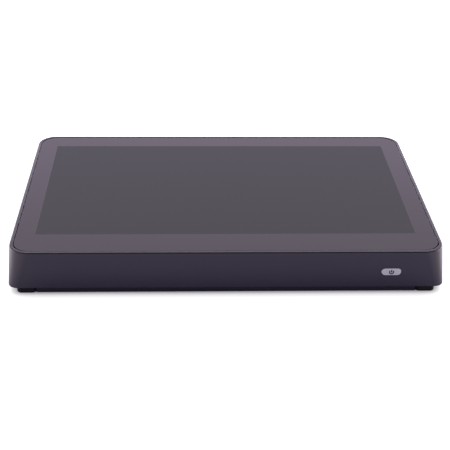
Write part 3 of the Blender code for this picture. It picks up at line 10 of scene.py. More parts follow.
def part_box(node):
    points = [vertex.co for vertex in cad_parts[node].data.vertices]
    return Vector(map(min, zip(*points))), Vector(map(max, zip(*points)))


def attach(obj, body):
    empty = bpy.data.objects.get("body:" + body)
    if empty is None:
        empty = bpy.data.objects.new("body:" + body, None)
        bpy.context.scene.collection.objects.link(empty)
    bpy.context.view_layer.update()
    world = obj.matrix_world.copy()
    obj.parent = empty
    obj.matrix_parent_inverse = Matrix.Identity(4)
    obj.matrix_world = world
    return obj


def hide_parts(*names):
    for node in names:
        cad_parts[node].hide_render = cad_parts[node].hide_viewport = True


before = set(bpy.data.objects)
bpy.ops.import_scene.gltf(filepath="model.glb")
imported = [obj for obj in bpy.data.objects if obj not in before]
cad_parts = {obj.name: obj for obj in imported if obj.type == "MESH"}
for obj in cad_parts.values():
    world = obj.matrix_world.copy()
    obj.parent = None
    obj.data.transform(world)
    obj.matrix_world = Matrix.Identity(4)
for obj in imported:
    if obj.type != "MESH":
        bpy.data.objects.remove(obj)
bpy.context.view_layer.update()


# The photograph is taken with a long lens, from in front of the terminal and above it,
# with the camera turned a little to the right and a touch off level. The turns are in
# degrees, and the lens and its sensor in millimetres.
CAMERA_SPOT = (-0.037594, -0.928084, 0.502940)
CAMERA_DOWN, CAMERA_ASIDE, CAMERA_ROLL = 28.3798, 2.4661, 1.0234
LENS_LENGTH, SENSOR_WIDTH = 84.442, 36
NEAREST_VIEW = 0.05

down, aside, roll = (math.radians(angle) for angle in (CAMERA_DOWN, CAMERA_ASIDE, CAMERA_ROLL))
look = Vector((math.sin(aside) * math.cos(down), math.cos(aside) * math.cos(down), -math.sin(down)))
level = Vector((math.cos(aside), -math.sin(aside), 0))
right = math.cos(roll) * level + math.sin(roll) * level.cross(look)
turned = Matrix((right, right.cross(look), -look)).transposed().to_4x4()
camera_data = bpy.data.cameras.new("studio_camera")
camera_data.lens = LENS_LENGTH
camera_data.sensor_width = SENSOR_WIDTH
camera_data.clip_start = NEAREST_VIEW
camera = bpy.data.objects.new("studio_camera", camera_data)
camera.matrix_world = Matrix.Translation(CAMERA_SPOT) @ turned
bpy.context.scene.collection.objects.link(camera)
bpy.context.scene.camera = camera


# The studio is a white sweep under a white tent, with one soft box hung above the back of
# the terminal. The sweep goes to paper white, and keeps the shadow under the overhang,
# darkened further by a painted contact shadow in its glow. In reflections it glows with a
# painted sheen.
class Wire:
    """One output in a material's nodes. Arithmetic on wires adds Math nodes."""

    def __init__(self, tree, socket=None):
        self.tree = tree
        self.socket = socket

    def node(self, kind, settings=None, inputs=None, output=0):
        """Adds a node, sets its properties, then fills or links its inputs."""
        made = self.tree.nodes.new(kind)
        for name, value in (settings or {}).items():
            setattr(made, name, value)
        for name, value in (inputs or {}).items():
            if isinstance(value, Wire):
                self.tree.links.new(value.socket, made.inputs[name])
            elif made.inputs[name].type == "RGBA":
                made.inputs[name].default_value = (*value, 1)
            else:
                made.inputs[name].default_value = value
        return Wire(self.tree, made.outputs[output])

    def other(self, output):
        """Another output of the node that this wire comes from."""
        return Wire(self.tree, self.socket.node.outputs[output])

    def maths(self, operation, *values):
        """A Math node on this wire and the given values."""
        return self.node("ShaderNodeMath", {"operation": operation}, dict(enumerate((self, *values))))

    def __add__(self, value):
        return self.maths("ADD", value)

    def __sub__(self, value):
        return self.maths("SUBTRACT", value)

    def __rsub__(self, value):
        return self * -1.0 + value

    def __mul__(self, value):
        return self.maths("MULTIPLY", value)

    def axis(self, name):
        """One coordinate of this place or direction: X, Y or Z."""
        return self.node("ShaderNodeSeparateXYZ", inputs={"Vector": self}, output=name)

    def ramp(self, low, high, start=0.0):
        """Goes from the start to 1 while this wire goes from low to high."""
        limits = {"Value": self, "From Min": low, "From Max": high, "To Min": start}
        return self.node("ShaderNodeMapRange", inputs=limits)

    def between(self, low, high, blur=0.00015):
        """1 where this coordinate lies between two values, and 0 outside them."""
        middle, half = (low + high) / 2, (high - low) / 2
        return (self - middle).maths("ABSOLUTE").ramp(half + blur / 2, half - blur / 2)

    def around(self, middle, amount):
        """Turns 0 to 1 into values around a middle, up to an amount below and above it."""
        return self * (2 * amount) + (middle - amount)

    def waves(self, rate):
        """A sine wave along this coordinate, with its rate in radians a metre."""
        return (self * rate).maths("SINE")

    def graded(self, stops):
        """A grey that goes through the (value, brightness) stops in turn."""
        grey = self.node("ShaderNodeValToRGB", inputs={"Fac": self})
        elements = grey.socket.node.color_ramp.elements
        while len(elements) < len(stops):
            elements.new(0.5)
        for element, (value, brightness) in zip(elements, stops):
            element.position = value
            element.color = (brightness, brightness, brightness, 1)
        return grey

    def blend(self, off, on):
        """The off colour where this wire is 0, and the on colour where it is 1."""
        factor, first_colour, second_colour, colour_result = 0, 6, 7, 2
        mixed = {factor: self, first_colour: off, second_colour: on}
        return self.node("ShaderNodeMix", {"data_type": "RGBA"}, mixed, colour_result)

    def stretched(self, x, y, z):
        """These coordinates, with their pattern drawn finer or coarser along each axis."""
        return self.node("ShaderNodeVectorMath", {"operation": "MULTIPLY"}, {0: self, 1: (x, y, z)})

    def noise(self, scale, detail=2.0):
        """A cloudy pattern of values about 0.5."""
        pattern = {"Vector": self, "Scale": scale, "Detail": detail}
        return self.node("ShaderNodeTexNoise", inputs=pattern)

    def bump(self, distance, strength=0.4):
        """A normal from this wire taken as a height."""
        height = {"Strength": strength, "Distance": distance, "Height": self}
        return self.node("ShaderNodeBump", inputs=height)


def tinted(colour, share):
    """A colour with each of its parts multiplied."""
    return tuple(part * share for part in colour)


def new_finish(name, colour, roughness, metallic=0.0, **constants):
    """A material, its shader node and a wire of its Object coordinates."""
    made = bpy.data.materials.new(name)
    made.use_nodes = True
    shader = made.node_tree.nodes["Principled BSDF"]
    shader.inputs["Base Color"].default_value = (*colour, 1)
    shader.inputs["Roughness"].default_value = roughness
    shader.inputs["Metallic"].default_value = metallic
    for socket, value in constants.items():
        shader.inputs[socket.replace("_", " ")].default_value = value
    return made, shader, Wire(made.node_tree).node("ShaderNodeTexCoord", output="Object")


def feed(shader, **wires):
    """Links wires to the shader's sockets."""
    for socket, wire in wires.items():
        wire.tree.links.new(wire.socket, shader.inputs[socket.replace("_", " ")])


def open_sky(place, reach, low, high):
    """0 in tight corners and 1 in the open, from how free the nearest surroundings are."""
    free = place.node("ShaderNodeAmbientOcclusion", {"samples": 12}, {"Distance": reach}, "AO")
    return free.ramp(low, high)


def shade_evenly(mesh, sharp_turn=32):
    """Smooth shading, except over edges where the faces turn by more degrees than this."""
    mesh.shade_smooth()
    mesh.set_sharp_from_angle(angle=math.radians(sharp_turn))


def shell_object(name, bm, finish):
    """A finished mesh as an object at the origin."""
    mesh = bpy.data.meshes.new(name)
    bm.to_mesh(mesh)
    bm.free()
    shade_evenly(mesh)
    mesh.materials.append(finish)
    made = bpy.data.objects.new(name, mesh)
    bpy.context.scene.collection.objects.link(made)
    return made


TENT_CAST = (1.04, 0.97, 1.10)
TENT_LEVEL, PANEL_LEVEL = 0.25, 6.0
PANEL_STOPS = ((0.31, 1.0), (0.38, 0.24), (0.50, 0.30), (0.56, 0.18), (0.75, 0.085))
SWEEP_HALF = 6
SWEEP_WHITE, SWEEP_GLOW = 0.88, 1.0
# The colour of the painted contact shadow in the sweep's glow.
PAINTED_CONTACT_SHADOW = (0.020, 0.004, 0.028)
# The sheen levels and the two casts set a painted sheen: a glow that the sweep shows only in
# reflections.
FLOOR_SHEEN, REAR_SHEEN, SIDE_SHEEN, CORNER_SHEEN = 0.27, 0.26, 0.22, 0.70
FRONT_CAST = (1.34, 1.20, 2.05)
SIDE_CAST = (1.56, 1.36, 1.48)
BOX_SPOT = (0.0, 0.25, 0.36)
BOX_WIDTH, BOX_DEPTH, BOX_POWER = 1.2, 0.28, 4.1

sweep_finish, shader, place = new_finish(
    "white_sweep", (SWEEP_WHITE, SWEEP_WHITE, SWEEP_WHITE), roughness=0.9,
    Specular_IOR_Level=0, Emission_Strength=SWEEP_GLOW,
)
to_camera = place.node("ShaderNodeLightPath", output="Is Camera Ray")
contact = open_sky(place, reach=0.02, low=0.05, high=0.76)
clear = open_sky(place, reach=0.12, low=0.50, high=0.95)
rearward = place.axis("Y").ramp(-0.15, -0.06)
beside = place.axis("X").maths("ABSOLUTE").ramp(0.20, 0.27)
# Painted contact shadow: to the camera the sweep glows white, and this glow turns a dark purple-grey
# where things close by hide the sweep from the sky.
seen = (to_camera * contact).blend(PAINTED_CONTACT_SHADOW, (1, 1, 1))
# Painted sheen: in reflections the sweep glows, brighter beside and behind the terminal and bluer in
# front, and it is painted darker close to the terminal.
sheen = beside * SIDE_SHEEN + rearward * REAR_SHEEN + beside * rearward * CORNER_SHEEN + FLOOR_SHEEN
painted_reflection = to_camera.other("Is Glossy Ray") * clear * sheen
feed(shader, Emission_Color=painted_reflection.blend(seen, beside.blend(FRONT_CAST, SIDE_CAST)))
bm = bmesh.new()
bmesh.ops.create_grid(bm, x_segments=1, y_segments=1, size=SWEEP_HALF)
shell_object("sweep", bm, sweep_finish)

world = bpy.data.worlds.new("white_tent")
world.use_nodes = True
bpy.context.scene.world = world
to_camera = Wire(world.node_tree).node("ShaderNodeLightPath", output="Is Camera Ray")
aim = to_camera.node("ShaderNodeTexCoord", output="Generated")
behind = aim.axis("Y").ramp(-0.30, 0.10, start=0.36)
sideways = aim.axis("X").maths("ABSOLUTE").ramp(0.25, 0.45)
falloff = aim.axis("Z").graded(PANEL_STOPS)
panel = falloff * behind * (sideways * falloff * falloff * 0.5 + 0.5)
panel = panel.blend((0, 0, 0), tinted(TENT_CAST, PANEL_LEVEL))
lit = to_camera.other("Is Glossy Ray").blend(tinted(TENT_CAST, TENT_LEVEL), panel)
feed(world.node_tree.nodes["Background"], Color=to_camera.blend(lit, (1, 1, 1)))

box_light = bpy.data.lights.new("soft_box", "AREA")
box_light.shape = "RECTANGLE"
box_light.size = BOX_WIDTH
box_light.size_y = BOX_DEPTH
box_light.energy = BOX_POWER
soft_box = bpy.data.objects.new("soft_box", box_light)
soft_box.location = BOX_SPOT
soft_box.visible_camera = False
soft_box.visible_glossy = False
bpy.context.scene.collection.objects.link(soft_box)
bpy.context.scene.view_settings.view_transform = "Standard"


# The housing is one moulding in dark purple-grey plastic, satin with a fine spark-eroded
# grain. Its walls lean out towards the base, and a thin lip frames the glass.
def plan_face(bm, low, high, radius, height, steps=20):
    """One upright face with rounded corners, between two corners in plan."""
    corners = bmesh.ops.create_grid(bm, x_segments=1, y_segments=1, size=1)["verts"]
    middle = (Vector(low) + Vector(high)) / 2
    reach = (Vector(high) - Vector(low)) / 2
    bmesh.ops.scale(bm, vec=(reach.x, reach.y, 1), verts=corners)
    bmesh.ops.translate(bm, vec=(middle.x, middle.y, height), verts=corners)
    rounded = bmesh.ops.bevel(
        bm, geom=corners, offset=radius, segments=steps, profile=0.5, affect="VERTICES", material=-1
    )
    return rounded["verts"][0].link_faces[0]


def walk(bm, face, profile):
    """Draws a face along (growth in plan, height) pairs, and leaves a wall behind it."""
    for start, end in zip(profile, profile[1:]):
        bmesh.ops.inset_region(
            bm, faces=[face], thickness=start[0] - end[0], depth=end[1] - start[1],
            use_even_offset=True, use_boundary=True,
        )


def quarter(centre, radius, first, last, steps=4):
    """Points on a rounded edge of a profile, from one angle to another."""
    turns = [math.radians(first + (last - first) * step / steps) for step in range(steps + 1)]
    return [(centre[0] + radius * math.cos(t), centre[1] + radius * math.sin(t)) for t in turns]


def open_edges(bm):
    """The edges with only one face."""
    return [edge for edge in bm.edges if edge.is_boundary]


def close_and_place(bm, matrix=Matrix()):
    """Closes the open end of a walked shape, puts it in place and turns its faces outwards."""
    bmesh.ops.holes_fill(bm, edges=open_edges(bm), sides=0)
    bmesh.ops.transform(bm, matrix=matrix, verts=bm.verts)
    bmesh.ops.recalc_face_normals(bm, faces=bm.faces)


def cut_away(solid, cutters):
    """Cuts closed shapes from a solid and leaves the result as its own mesh."""
    for cutter in cutters:
        boolean = solid.modifiers.new(cutter.name, "BOOLEAN")
        boolean.operation = "DIFFERENCE"
        boolean.solver = "EXACT"
        boolean.object = cutter
    graph = bpy.context.evaluated_depsgraph_get()
    bm = bmesh.new()
    bm.from_object(solid, graph)
    solid.modifiers.clear()
    for cutter in cutters:
        bpy.data.objects.remove(cutter)
    bm.to_mesh(solid.data)
    bm.free()
    shade_evenly(solid.data)


def ease_edges(piece, width, segments, least_turn):
    """Rounds the edges where a piece's faces turn by more than an angle in degrees."""
    eased = piece.modifiers.new("eased_edges", "BEVEL")
    eased.width = width
    eased.segments = segments
    eased.limit_method = "ANGLE"
    eased.angle_limit = math.radians(least_turn)


def moulded_plastic(name, colour, roughness, grain, specular=0.5):
    """Moulded plastic: even colour with faint mottling, and a bump of the mould's grain."""
    made, shader, place = new_finish(name, colour, roughness, Specular_IOR_Level=specular)
    cloud = place.noise(38.0, detail=3.0)
    feed(
        shader,
        Base_Color=cloud.blend(tinted(colour, 0.9), tinted(colour, 1.12)),
        Roughness=cloud.around(roughness, 0.03),
        Normal=place.noise(1500.0).bump(0.00003, strength=grain),
    )
    return made


def seat_piece(piece, body, node):
    """Even shading on flat faces, then the piece's body and the solid it stands for."""
    weighted = piece.modifiers.new("even_shading", "WEIGHTED_NORMAL")
    weighted.keep_sharp = True
    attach(piece, body)
    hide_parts(node)


HOUSING_COLOUR = (0.030, 0.0232, 0.041)
RIM_HEIGHT, RIM_ROUND = 0.0422, 0.0013
RIM_HALF = Vector((0.1933, 0.1274))
RIM_CORNER, BASE_CORNER = 0.0192, 0.0083
LEAN = math.radians(2.0)
WALL = 0.0024
WALL_FOOT, FOOT_ROUND = 0.0075, 0.0006
LIP_WIDTH, LIP_ROUND = 0.0036, 0.00015
LEDGE_WIDTH, LEDGE_TOP, LEDGE_UNDER = 0.0112, 0.0390, 0.0367
WINDOW_LOW, WINDOW_HIGH, WINDOW_CORNER = (-0.1470, 0.0102), (0.0459, 0.0281), 0.002
VENT_COUNT, VENT_START, VENT_PITCH, VENT_WIDTH = 20, 0.0599, 0.0052, 0.0022
VENT_LOW, VENT_HIGH, VENT_CORNER = 0.0142, 0.0236, 0.00105
CUT_FROM, CUT_TO = 0.1240, 0.1340
MOULD_EASE = 0.00012
BUTTON_SPOT = Vector((0.1457, -0.128084, 0.0226))
HOLE_HALF, HOLE_CORNER = Vector((0.0092, 0.00385)), 0.0038
HOLE_BACK, HOLE_FRONT = -0.006, 0.003


def lean_out(height):
    """How far the wall stands out at this height, beyond the rim."""
    return (RIM_HEIGHT - height) * math.tan(LEAN)


def wall_outline(bm, height):
    """A face on the wall's outline, whose corners tighten towards the base."""
    share = (RIM_HEIGHT - height) / (RIM_HEIGHT - WALL_FOOT)
    half = RIM_HALF + Vector((lean_out(height), lean_out(height)))
    corner = RIM_CORNER + (BASE_CORNER - RIM_CORNER) * share
    return plan_face(bm, -half, half, corner, height, steps=24)


housing_finish = moulded_plastic("moulded_housing", HOUSING_COLOUR, roughness=0.32, grain=0.3)
low_turn, high_turn = WALL_FOOT + FOOT_ROUND, RIM_HEIGHT - RIM_ROUND
bm = bmesh.new()
under = wall_outline(bm, low_turn)
walk(bm, under, quarter((-FOOT_ROUND, low_turn), FOOT_ROUND, 0, -90) + [(-WALL, WALL_FOOT)])
within = wall_outline(bm, high_turn)
profile = quarter((-RIM_ROUND, high_turn), RIM_ROUND, 0, 90, steps=8)
profile += quarter((LIP_ROUND - LIP_WIDTH, RIM_HEIGHT - LIP_ROUND), LIP_ROUND, 90, 180, steps=2)
profile += [(-LIP_WIDTH, LEDGE_TOP), (-LEDGE_WIDTH, LEDGE_TOP)]
profile += [(-LEDGE_WIDTH, LEDGE_UNDER), (-WALL, LEDGE_UNDER)]
walk(bm, within, profile)
bmesh.ops.bridge_loops(bm, edges=open_edges(bm))
bmesh.ops.delete(bm, geom=[under, within], context="FACES_ONLY")
bmesh.ops.bridge_loops(bm, edges=open_edges(bm))
bmesh.ops.recalc_face_normals(bm, faces=bm.faces)
housing = shell_object("housing_moulding", bm, housing_finish)

face_rear = Matrix.Rotation(-math.pi / 2, 4, "X")
front_wall = Matrix.Translation(BUTTON_SPOT) @ Matrix.Rotation(math.pi / 2 - LEAN, 4, "X")


def wall_block(name, low, high, radius):
    """A cutter through the rear wall, its rounded outline drawn on the XZ plane."""
    bm = bmesh.new()
    face = plan_face(bm, (low[0], -high[1]), (high[0], -low[1]), radius, CUT_FROM, steps=5)
    walk(bm, face, [(0, CUT_FROM), (0, CUT_TO)])
    close_and_place(bm, face_rear)
    return shell_object(name, bm, housing_finish)


cutters = [wall_block("socket_window", WINDOW_LOW, WINDOW_HIGH, WINDOW_CORNER)]
for vent in range(VENT_COUNT):
    left = VENT_START + VENT_PITCH * vent
    vent_high = (left + VENT_WIDTH, VENT_HIGH)
    cutters.append(wall_block("rear_vent", (left, VENT_LOW), vent_high, VENT_CORNER))
bm = bmesh.new()
face = plan_face(bm, -HOLE_HALF, HOLE_HALF, HOLE_CORNER, HOLE_BACK)
walk(bm, face, [(0, HOLE_BACK), (0, HOLE_FRONT)])
close_and_place(bm, front_wall)
cutters.append(shell_object("button_hole", bm, housing_finish))
cut_away(housing, cutters)
ease_edges(housing, MOULD_EASE, segments=1, least_turn=60)
seat_piece(housing, "terminal", "housing")


# The cover glass lies flush in the rim. A grey-purple border is printed on its back, and
# the clear middle shows the dark display, which is off.
PICTURE_LOW = Vector((-0.1721, -0.0926))
PICTURE_HIGH = Vector((0.1721, 0.1010))
# The width and tone of a painted line of light and shade along the picture's front edge.
PAINTED_EDGE_WIDTH = 0.0007
BORDER_PRINT = (0.057, 0.042, 0.064)
PAINTED_EDGE_TONE = (0.050, 0.040, 0.056)
DISPLAY_BLACK = (0.0030, 0.0022, 0.0098)
GLASS_FLAT_HALF, GLASS_CORNER = Vector((0.18905, 0.12315)), 0.01575
GLASS_UNDER, GLASS_TOP, GLASS_ROUND = 0.0402, 0.0420, 0.00015

glass_finish, shader, place = new_finish("printed_cover_glass", DISPLAY_BLACK, roughness=0.035)
along = place.axis("Y")
columns = place.axis("X").between(PICTURE_LOW.x, PICTURE_HIGH.x)
picture = columns * along.between(PICTURE_LOW.y, PICTURE_HIGH.y)
# Painted edge: a thin line along the front edge of the picture is painted light and shade for the
# display's edge under the glass, not print. It is in a tone between the border and the display.
painted_edge_line = columns * along.between(PICTURE_LOW.y - PAINTED_EDGE_WIDTH, PICTURE_LOW.y)
border = painted_edge_line.blend(BORDER_PRINT, PAINTED_EDGE_TONE)
feed(shader, Base_Color=picture.blend(border, DISPLAY_BLACK))
feed(shader, Normal=place.noise(9.0).bump(0.00001, strength=0.05))
bm = bmesh.new()
face = plan_face(bm, -GLASS_FLAT_HALF, GLASS_FLAT_HALF, GLASS_CORNER, GLASS_UNDER, steps=24)
profile = quarter((0, GLASS_UNDER + GLASS_ROUND), GLASS_ROUND, -90, 0, steps=2)
profile += quarter((0, GLASS_TOP - GLASS_ROUND), GLASS_ROUND, 0, 90, steps=2)
walk(bm, face, profile)
close_and_place(bm)
glass = shell_object("cover_glass_sheet", bm, glass_finish)
seat_piece(glass, "terminal", "cover_glass")


# The power button is a pill of silver-painted plastic, pushed from the front wall. The
# usual power sign is printed on it in dark ink, and a flange keeps it in its guide.
FLANGE_HALF, FLANGE_CORNER, FLANGE_WIDTH = Vector((0.0102, 0.00485)), 0.0048, 0.0014
FLANGE_BACK, FLANGE_FRONT = -0.0039, -0.0027
CAP_FRONT, CAP_ROUND = 0.0003, 0.0004
STEM_RADIUS, STEM_LENGTH, STEM_MIDDLE = 0.0016, 0.0028, -0.0052
RING_INNER, RING_OUTER, RING_OPENING = 0.00130, 0.00236, 100
BAR_WIDTH, BAR_LENGTH, BAR_MIDDLE = 0.00105, 0.00250, 0.00080
INK_BACK, INK_FRONT, SIGN_SHIFT = 0.00028, 0.00032, 0.00012
SILVER_COLOUR = (0.67, 0.675, 0.665)
INK_COLOUR = (0.006, 0.005, 0.008)

button_finish, shader, place = new_finish("silver_paint", SILVER_COLOUR, roughness=0.36, metallic=0.45)
flakes = place.noise(2600.0)
feed(shader, Roughness=flakes.around(0.38, 0.06), Normal=flakes.bump(0.000008, strength=0.2))
bm = bmesh.new()
face = plan_face(bm, -FLANGE_HALF, FLANGE_HALF, FLANGE_CORNER, FLANGE_BACK, steps=16)
profile = [(0, FLANGE_BACK), (0, FLANGE_FRONT), (-FLANGE_WIDTH, FLANGE_FRONT)]
profile += quarter((-FLANGE_WIDTH - CAP_ROUND, CAP_FRONT - CAP_ROUND), CAP_ROUND, 0, 90, steps=5)
walk(bm, face, profile)
bmesh.ops.create_cone(
    bm, cap_ends=True, segments=24, radius1=STEM_RADIUS, radius2=STEM_RADIUS, depth=STEM_LENGTH,
    matrix=Matrix.Translation((0, 0, STEM_MIDDLE)),
)
close_and_place(bm, front_wall)
button = shell_object("power_button_cap", bm, button_finish)
seat_piece(button, "button", "power_button")


WELD_REACH = 0.000001


def spun(bm, points, angle=2 * math.pi, steps=32, start=0.0):
    """Spins an open or closed line of (radius, height) points about the Z axis."""
    turn = Matrix.Rotation(start, 4, "Z")
    verts = [bm.verts.new(turn @ Vector((radius, 0, height))) for radius, height in points]
    edges = [bm.edges.new(pair) for pair in zip(verts, verts[1:])]
    bmesh.ops.spin(
        bm, geom=verts + edges, cent=(0, 0, 0), axis=(0, 0, 1), angle=angle, steps=steps,
        use_merge=abs(angle - 2 * math.pi) < 0.001,
    )
    bmesh.ops.remove_doubles(bm, verts=bm.verts, dist=WELD_REACH)
    bmesh.ops.holes_fill(bm, edges=open_edges(bm), sides=0)
    bmesh.ops.recalc_face_normals(bm, faces=bm.faces)


def add_block(bm, low, high):
    """A block between two corners."""
    verts = bmesh.ops.create_cube(bm, size=1)["verts"]
    low, high = Vector(low), Vector(high)
    bmesh.ops.scale(bm, vec=high - low, verts=verts)
    bmesh.ops.translate(bm, vec=(low + high) / 2, verts=verts)
    return verts


def seat_detail(name, bm, finish, body):
    """A small piece that rides on a body and stands for no solid of its own."""
    made = shell_object(name, bm, finish)
    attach(made, body)


ink_finish, shader, place = new_finish("dark_ink", INK_COLOUR, roughness=0.60, Specular_IOR_Level=0.15)
feed(shader, Roughness=place.noise(900.0).around(0.60, 0.05))
bm = bmesh.new()
ring = [(RING_INNER, INK_BACK), (RING_OUTER, INK_BACK)]
ring += [(RING_OUTER, INK_FRONT), (RING_INNER, INK_FRONT), (RING_INNER, INK_BACK)]
ring_angle, ring_start = math.radians(360 - RING_OPENING), math.radians(90 + RING_OPENING / 2)
spun(bm, ring, ring_angle, steps=40, start=ring_start)
bar_low = (-BAR_WIDTH / 2, BAR_MIDDLE - BAR_LENGTH / 2, INK_BACK)
add_block(bm, bar_low, (BAR_WIDTH / 2, BAR_MIDDLE + BAR_LENGTH / 2, INK_FRONT))
on_cap = front_wall @ Matrix.Translation((SIGN_SHIFT, 0, 0))
bmesh.ops.transform(bm, matrix=on_cap, verts=bm.verts)
seat_detail("power_sign", bm, ink_finish, "button")


# The display, its steel tray and the flat cables lie under the glass. Below them a folded
# plate carries the mainboard, and all of it keeps the shapes that it has in the model.
def dress(finish, *nodes):
    """Gives carried-over solids their finish."""
    for name in nodes:
        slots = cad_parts[name].data.materials
        slots.clear()
        slots.append(finish)


def rolled_metal(name, colour, roughness, grain):
    """Bare metal with long drawn marks along X, which roughen it unevenly."""
    made, shader, place = new_finish(name, colour, roughness, metallic=1.0)
    marks = place.stretched(30, 900, 900).noise(1.0, detail=3.0)
    feed(
        shader,
        Base_Color=place.noise(60.0, detail=3.0).blend(tinted(colour, 0.88), tinted(colour, 1.08)),
        Roughness=marks.around(roughness, 0.09),
        Normal=marks.bump(0.00001, strength=grain),
    )
    return made


CONDUCTOR_RATE = 6283.0

zinc_finish = rolled_metal("zinc_plated_sheet", (0.44, 0.45, 0.46), roughness=0.36, grain=0.3)
film_finish, shader, place = new_finish("display_film", (0.020, 0.020, 0.023), roughness=0.25)
feed(shader, Roughness=place.noise(400.0).around(0.25, 0.05))
foam_finish, shader, place = new_finish("gasket_foam", (0.010, 0.010, 0.010), roughness=0.95)
cells = place.noise(3200.0, detail=3.0)
foam_shade = cells.blend((0.006, 0.006, 0.006), (0.018, 0.018, 0.018))
feed(shader, Base_Color=foam_shade, Normal=cells.bump(0.0001))
ribbon_finish, shader, place = new_finish("flat_cable_film", (0.42, 0.27, 0.10), roughness=0.42)
lines = place.axis("X").waves(CONDUCTOR_RATE) * 0.5 + 0.5
feed(shader, Base_Color=lines.blend((0.30, 0.16, 0.05), (0.50, 0.33, 0.13)))
dress(film_finish, "display_panel")
dress(foam_finish, "glass_gasket")
dress(zinc_finish, "display_backlight", "display_rail_left", "display_rail_right", "chassis_plate")
dress(ribbon_finish, "display_cable", "touch_cable", "antenna_left", "antenna_right")


# The boards are green laminate with copper tracks under the lacquer. The chips are black
# resin, and the finned heat sink is extruded aluminium, pressed to the processor by a pad.
TRACK_RATE = 2500.0


def laminate(name, colour, track):
    """Lacquered board: fine square tracks and pads show paler through the green."""
    made, shader, place = new_finish(name, colour, roughness=0.40)
    runs, crossings = place.axis("X").waves(TRACK_RATE), place.axis("Y").waves(TRACK_RATE)
    pick = place.noise(55.0, detail=1.0).ramp(0.48, 0.50)
    tracks = (pick * runs + (1 - pick) * crossings).ramp(0.1, 0.3)
    feed(
        shader,
        Base_Color=tracks.blend(colour, track),
        Roughness=place.noise(300.0).around(0.40, 0.05),
        Normal=tracks.bump(0.00004, strength=0.5),
    )
    return made


board_finish = laminate("green_laminate", (0.010, 0.060, 0.030), (0.020, 0.110, 0.050))
resin_finish = moulded_plastic("chip_resin", (0.012, 0.012, 0.013), roughness=0.50, grain=0.3)
fin_finish = rolled_metal("extruded_aluminium", (0.62, 0.63, 0.65), roughness=0.34, grain=0.4)
pad_finish, shader, place = new_finish("pad_silicone", (0.33, 0.36, 0.40), roughness=0.80)
feed(shader, Base_Color=place.noise(900.0).blend((0.28, 0.31, 0.35), (0.38, 0.41, 0.45)))
cell_finish = rolled_metal("cell_steel", (0.52, 0.52, 0.50), roughness=0.26, grain=0.15)
dress(
    board_finish, "mainboard", "memory_module", "storage_drive", "wireless_card",
    "display_driver_board", "touch_controller_board", "switch_board",
)
dress(resin_finish, "processor", "memory_socket", "coin_cell_holder", "speaker_left", "speaker_right")
dress(fin_finish, "heat_sink")
dress(pad_finish, "thermal_pad")
dress(cell_finish, "coin_cell")


# The sockets stand in a row behind the rear window, pushed through a thin steel bracket.
# Their shells are plated steel or black moulding, and every contact is a gilt spring.
SHELL_EASE, MOULDED_EASE, SHEET_EASE = 0.00012, 0.0002, 0.00008
LINING_DEPTH = 0.0007
TONGUE_FRONT, TONGUE_HALF, CONTACT_RISE = 0.0011, 0.00085, 0.0009


def seat_copy(node, body, finish, width, segments=2, lining=None):
    """Seats a copy of a solid, its triangles merged, its edges eased and its inside lined."""
    bm = bmesh.new()
    bm.from_mesh(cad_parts[node].data)
    bmesh.ops.remove_doubles(bm, verts=bm.verts, dist=5 * WELD_REACH)
    flat = math.radians(1)
    bmesh.ops.dissolve_limit(bm, angle_limit=flat, verts=bm.verts, edges=bm.edges)
    if lining:
        low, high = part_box(node)
        for face in bm.faces:
            spot = face.calc_center_median()
            sides = (min(spot[a] - low[a], high[a] - spot[a]) for a in range(3))
            face.material_index = int(min(sides) > LINING_DEPTH)
    made = shell_object(node + "_finished", bm, finish)
    if lining:
        made.data.materials.append(lining)
    ease_edges(made, width, segments, least_turn=40)
    seat_piece(made, body, node)


def add_tongue(bm, across, height, face, half_width, back):
    """A moulded tongue inside a socket, for its contacts to lie on."""
    low = (across - half_width, face - back, height - TONGUE_HALF)
    add_block(bm, low, (across + half_width, face - TONGUE_FRONT, height + TONGUE_HALF))


def add_contacts(bm, middle, count, pitch, width, inner, outer, drop=0.0, thick=0.0002):
    """A row of flat contacts along Y, at a spot in the XZ plane. Inner ends may be lower."""
    for step in range(count):
        across = middle[0] + (step - (count - 1) / 2) * pitch
        low = (across - width / 2, inner, middle[1] - thick / 2)
        for vert in add_block(bm, low, (across + width / 2, outer, middle[1] + thick / 2)):
            if vert.co.y < (inner + outer) / 2:
                vert.co.z -= drop


def socket_middle(node):
    """The middle of a socket's face in the XZ plane, and the depth of that face."""
    low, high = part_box(node)
    return (low[0] + high[0]) / 2, (low[2] + high[2]) / 2, high[1]


def into_socket(bm, node):
    """Moves a shape that was spun about Z to the middle of a socket's face."""
    across, height, face = socket_middle(node)
    matrix = Matrix.Translation((across, face, height)) @ face_rear
    bmesh.ops.transform(bm, matrix=matrix, verts=bm.verts)


shell_finish = rolled_metal("plated_socket_shell", (0.46, 0.46, 0.45), roughness=0.30, grain=0.2)
black_finish = moulded_plastic("socket_moulding", (0.010, 0.010, 0.011), roughness=0.46, grain=0.3)
gilt_finish = rolled_metal("gilt_contact", (0.78, 0.52, 0.20), roughness=0.24, grain=0.1)
stacked = ("peripheral_socket_1", "peripheral_socket_2", "peripheral_socket_3")
for name in ("serial_socket", *stacked, "video_socket"):
    seat_copy(name, "terminal", shell_finish, SHELL_EASE)
seat_copy("network_socket", "terminal", shell_finish, SHELL_EASE, lining=black_finish)
for name in ("audio_socket", "dc_inlet", "drawer_socket"):
    seat_copy(name, "terminal", black_finish, MOULDED_EASE)
seat_copy("socket_bracket", "terminal", zinc_finish, SHEET_EASE, segments=1)

DECK_RISE, DECK_HALF, DECK_BACK = 0.00385, 0.00505, 0.0148
VIDEO_HALF, VIDEO_BACK = 0.0056, 0.0096

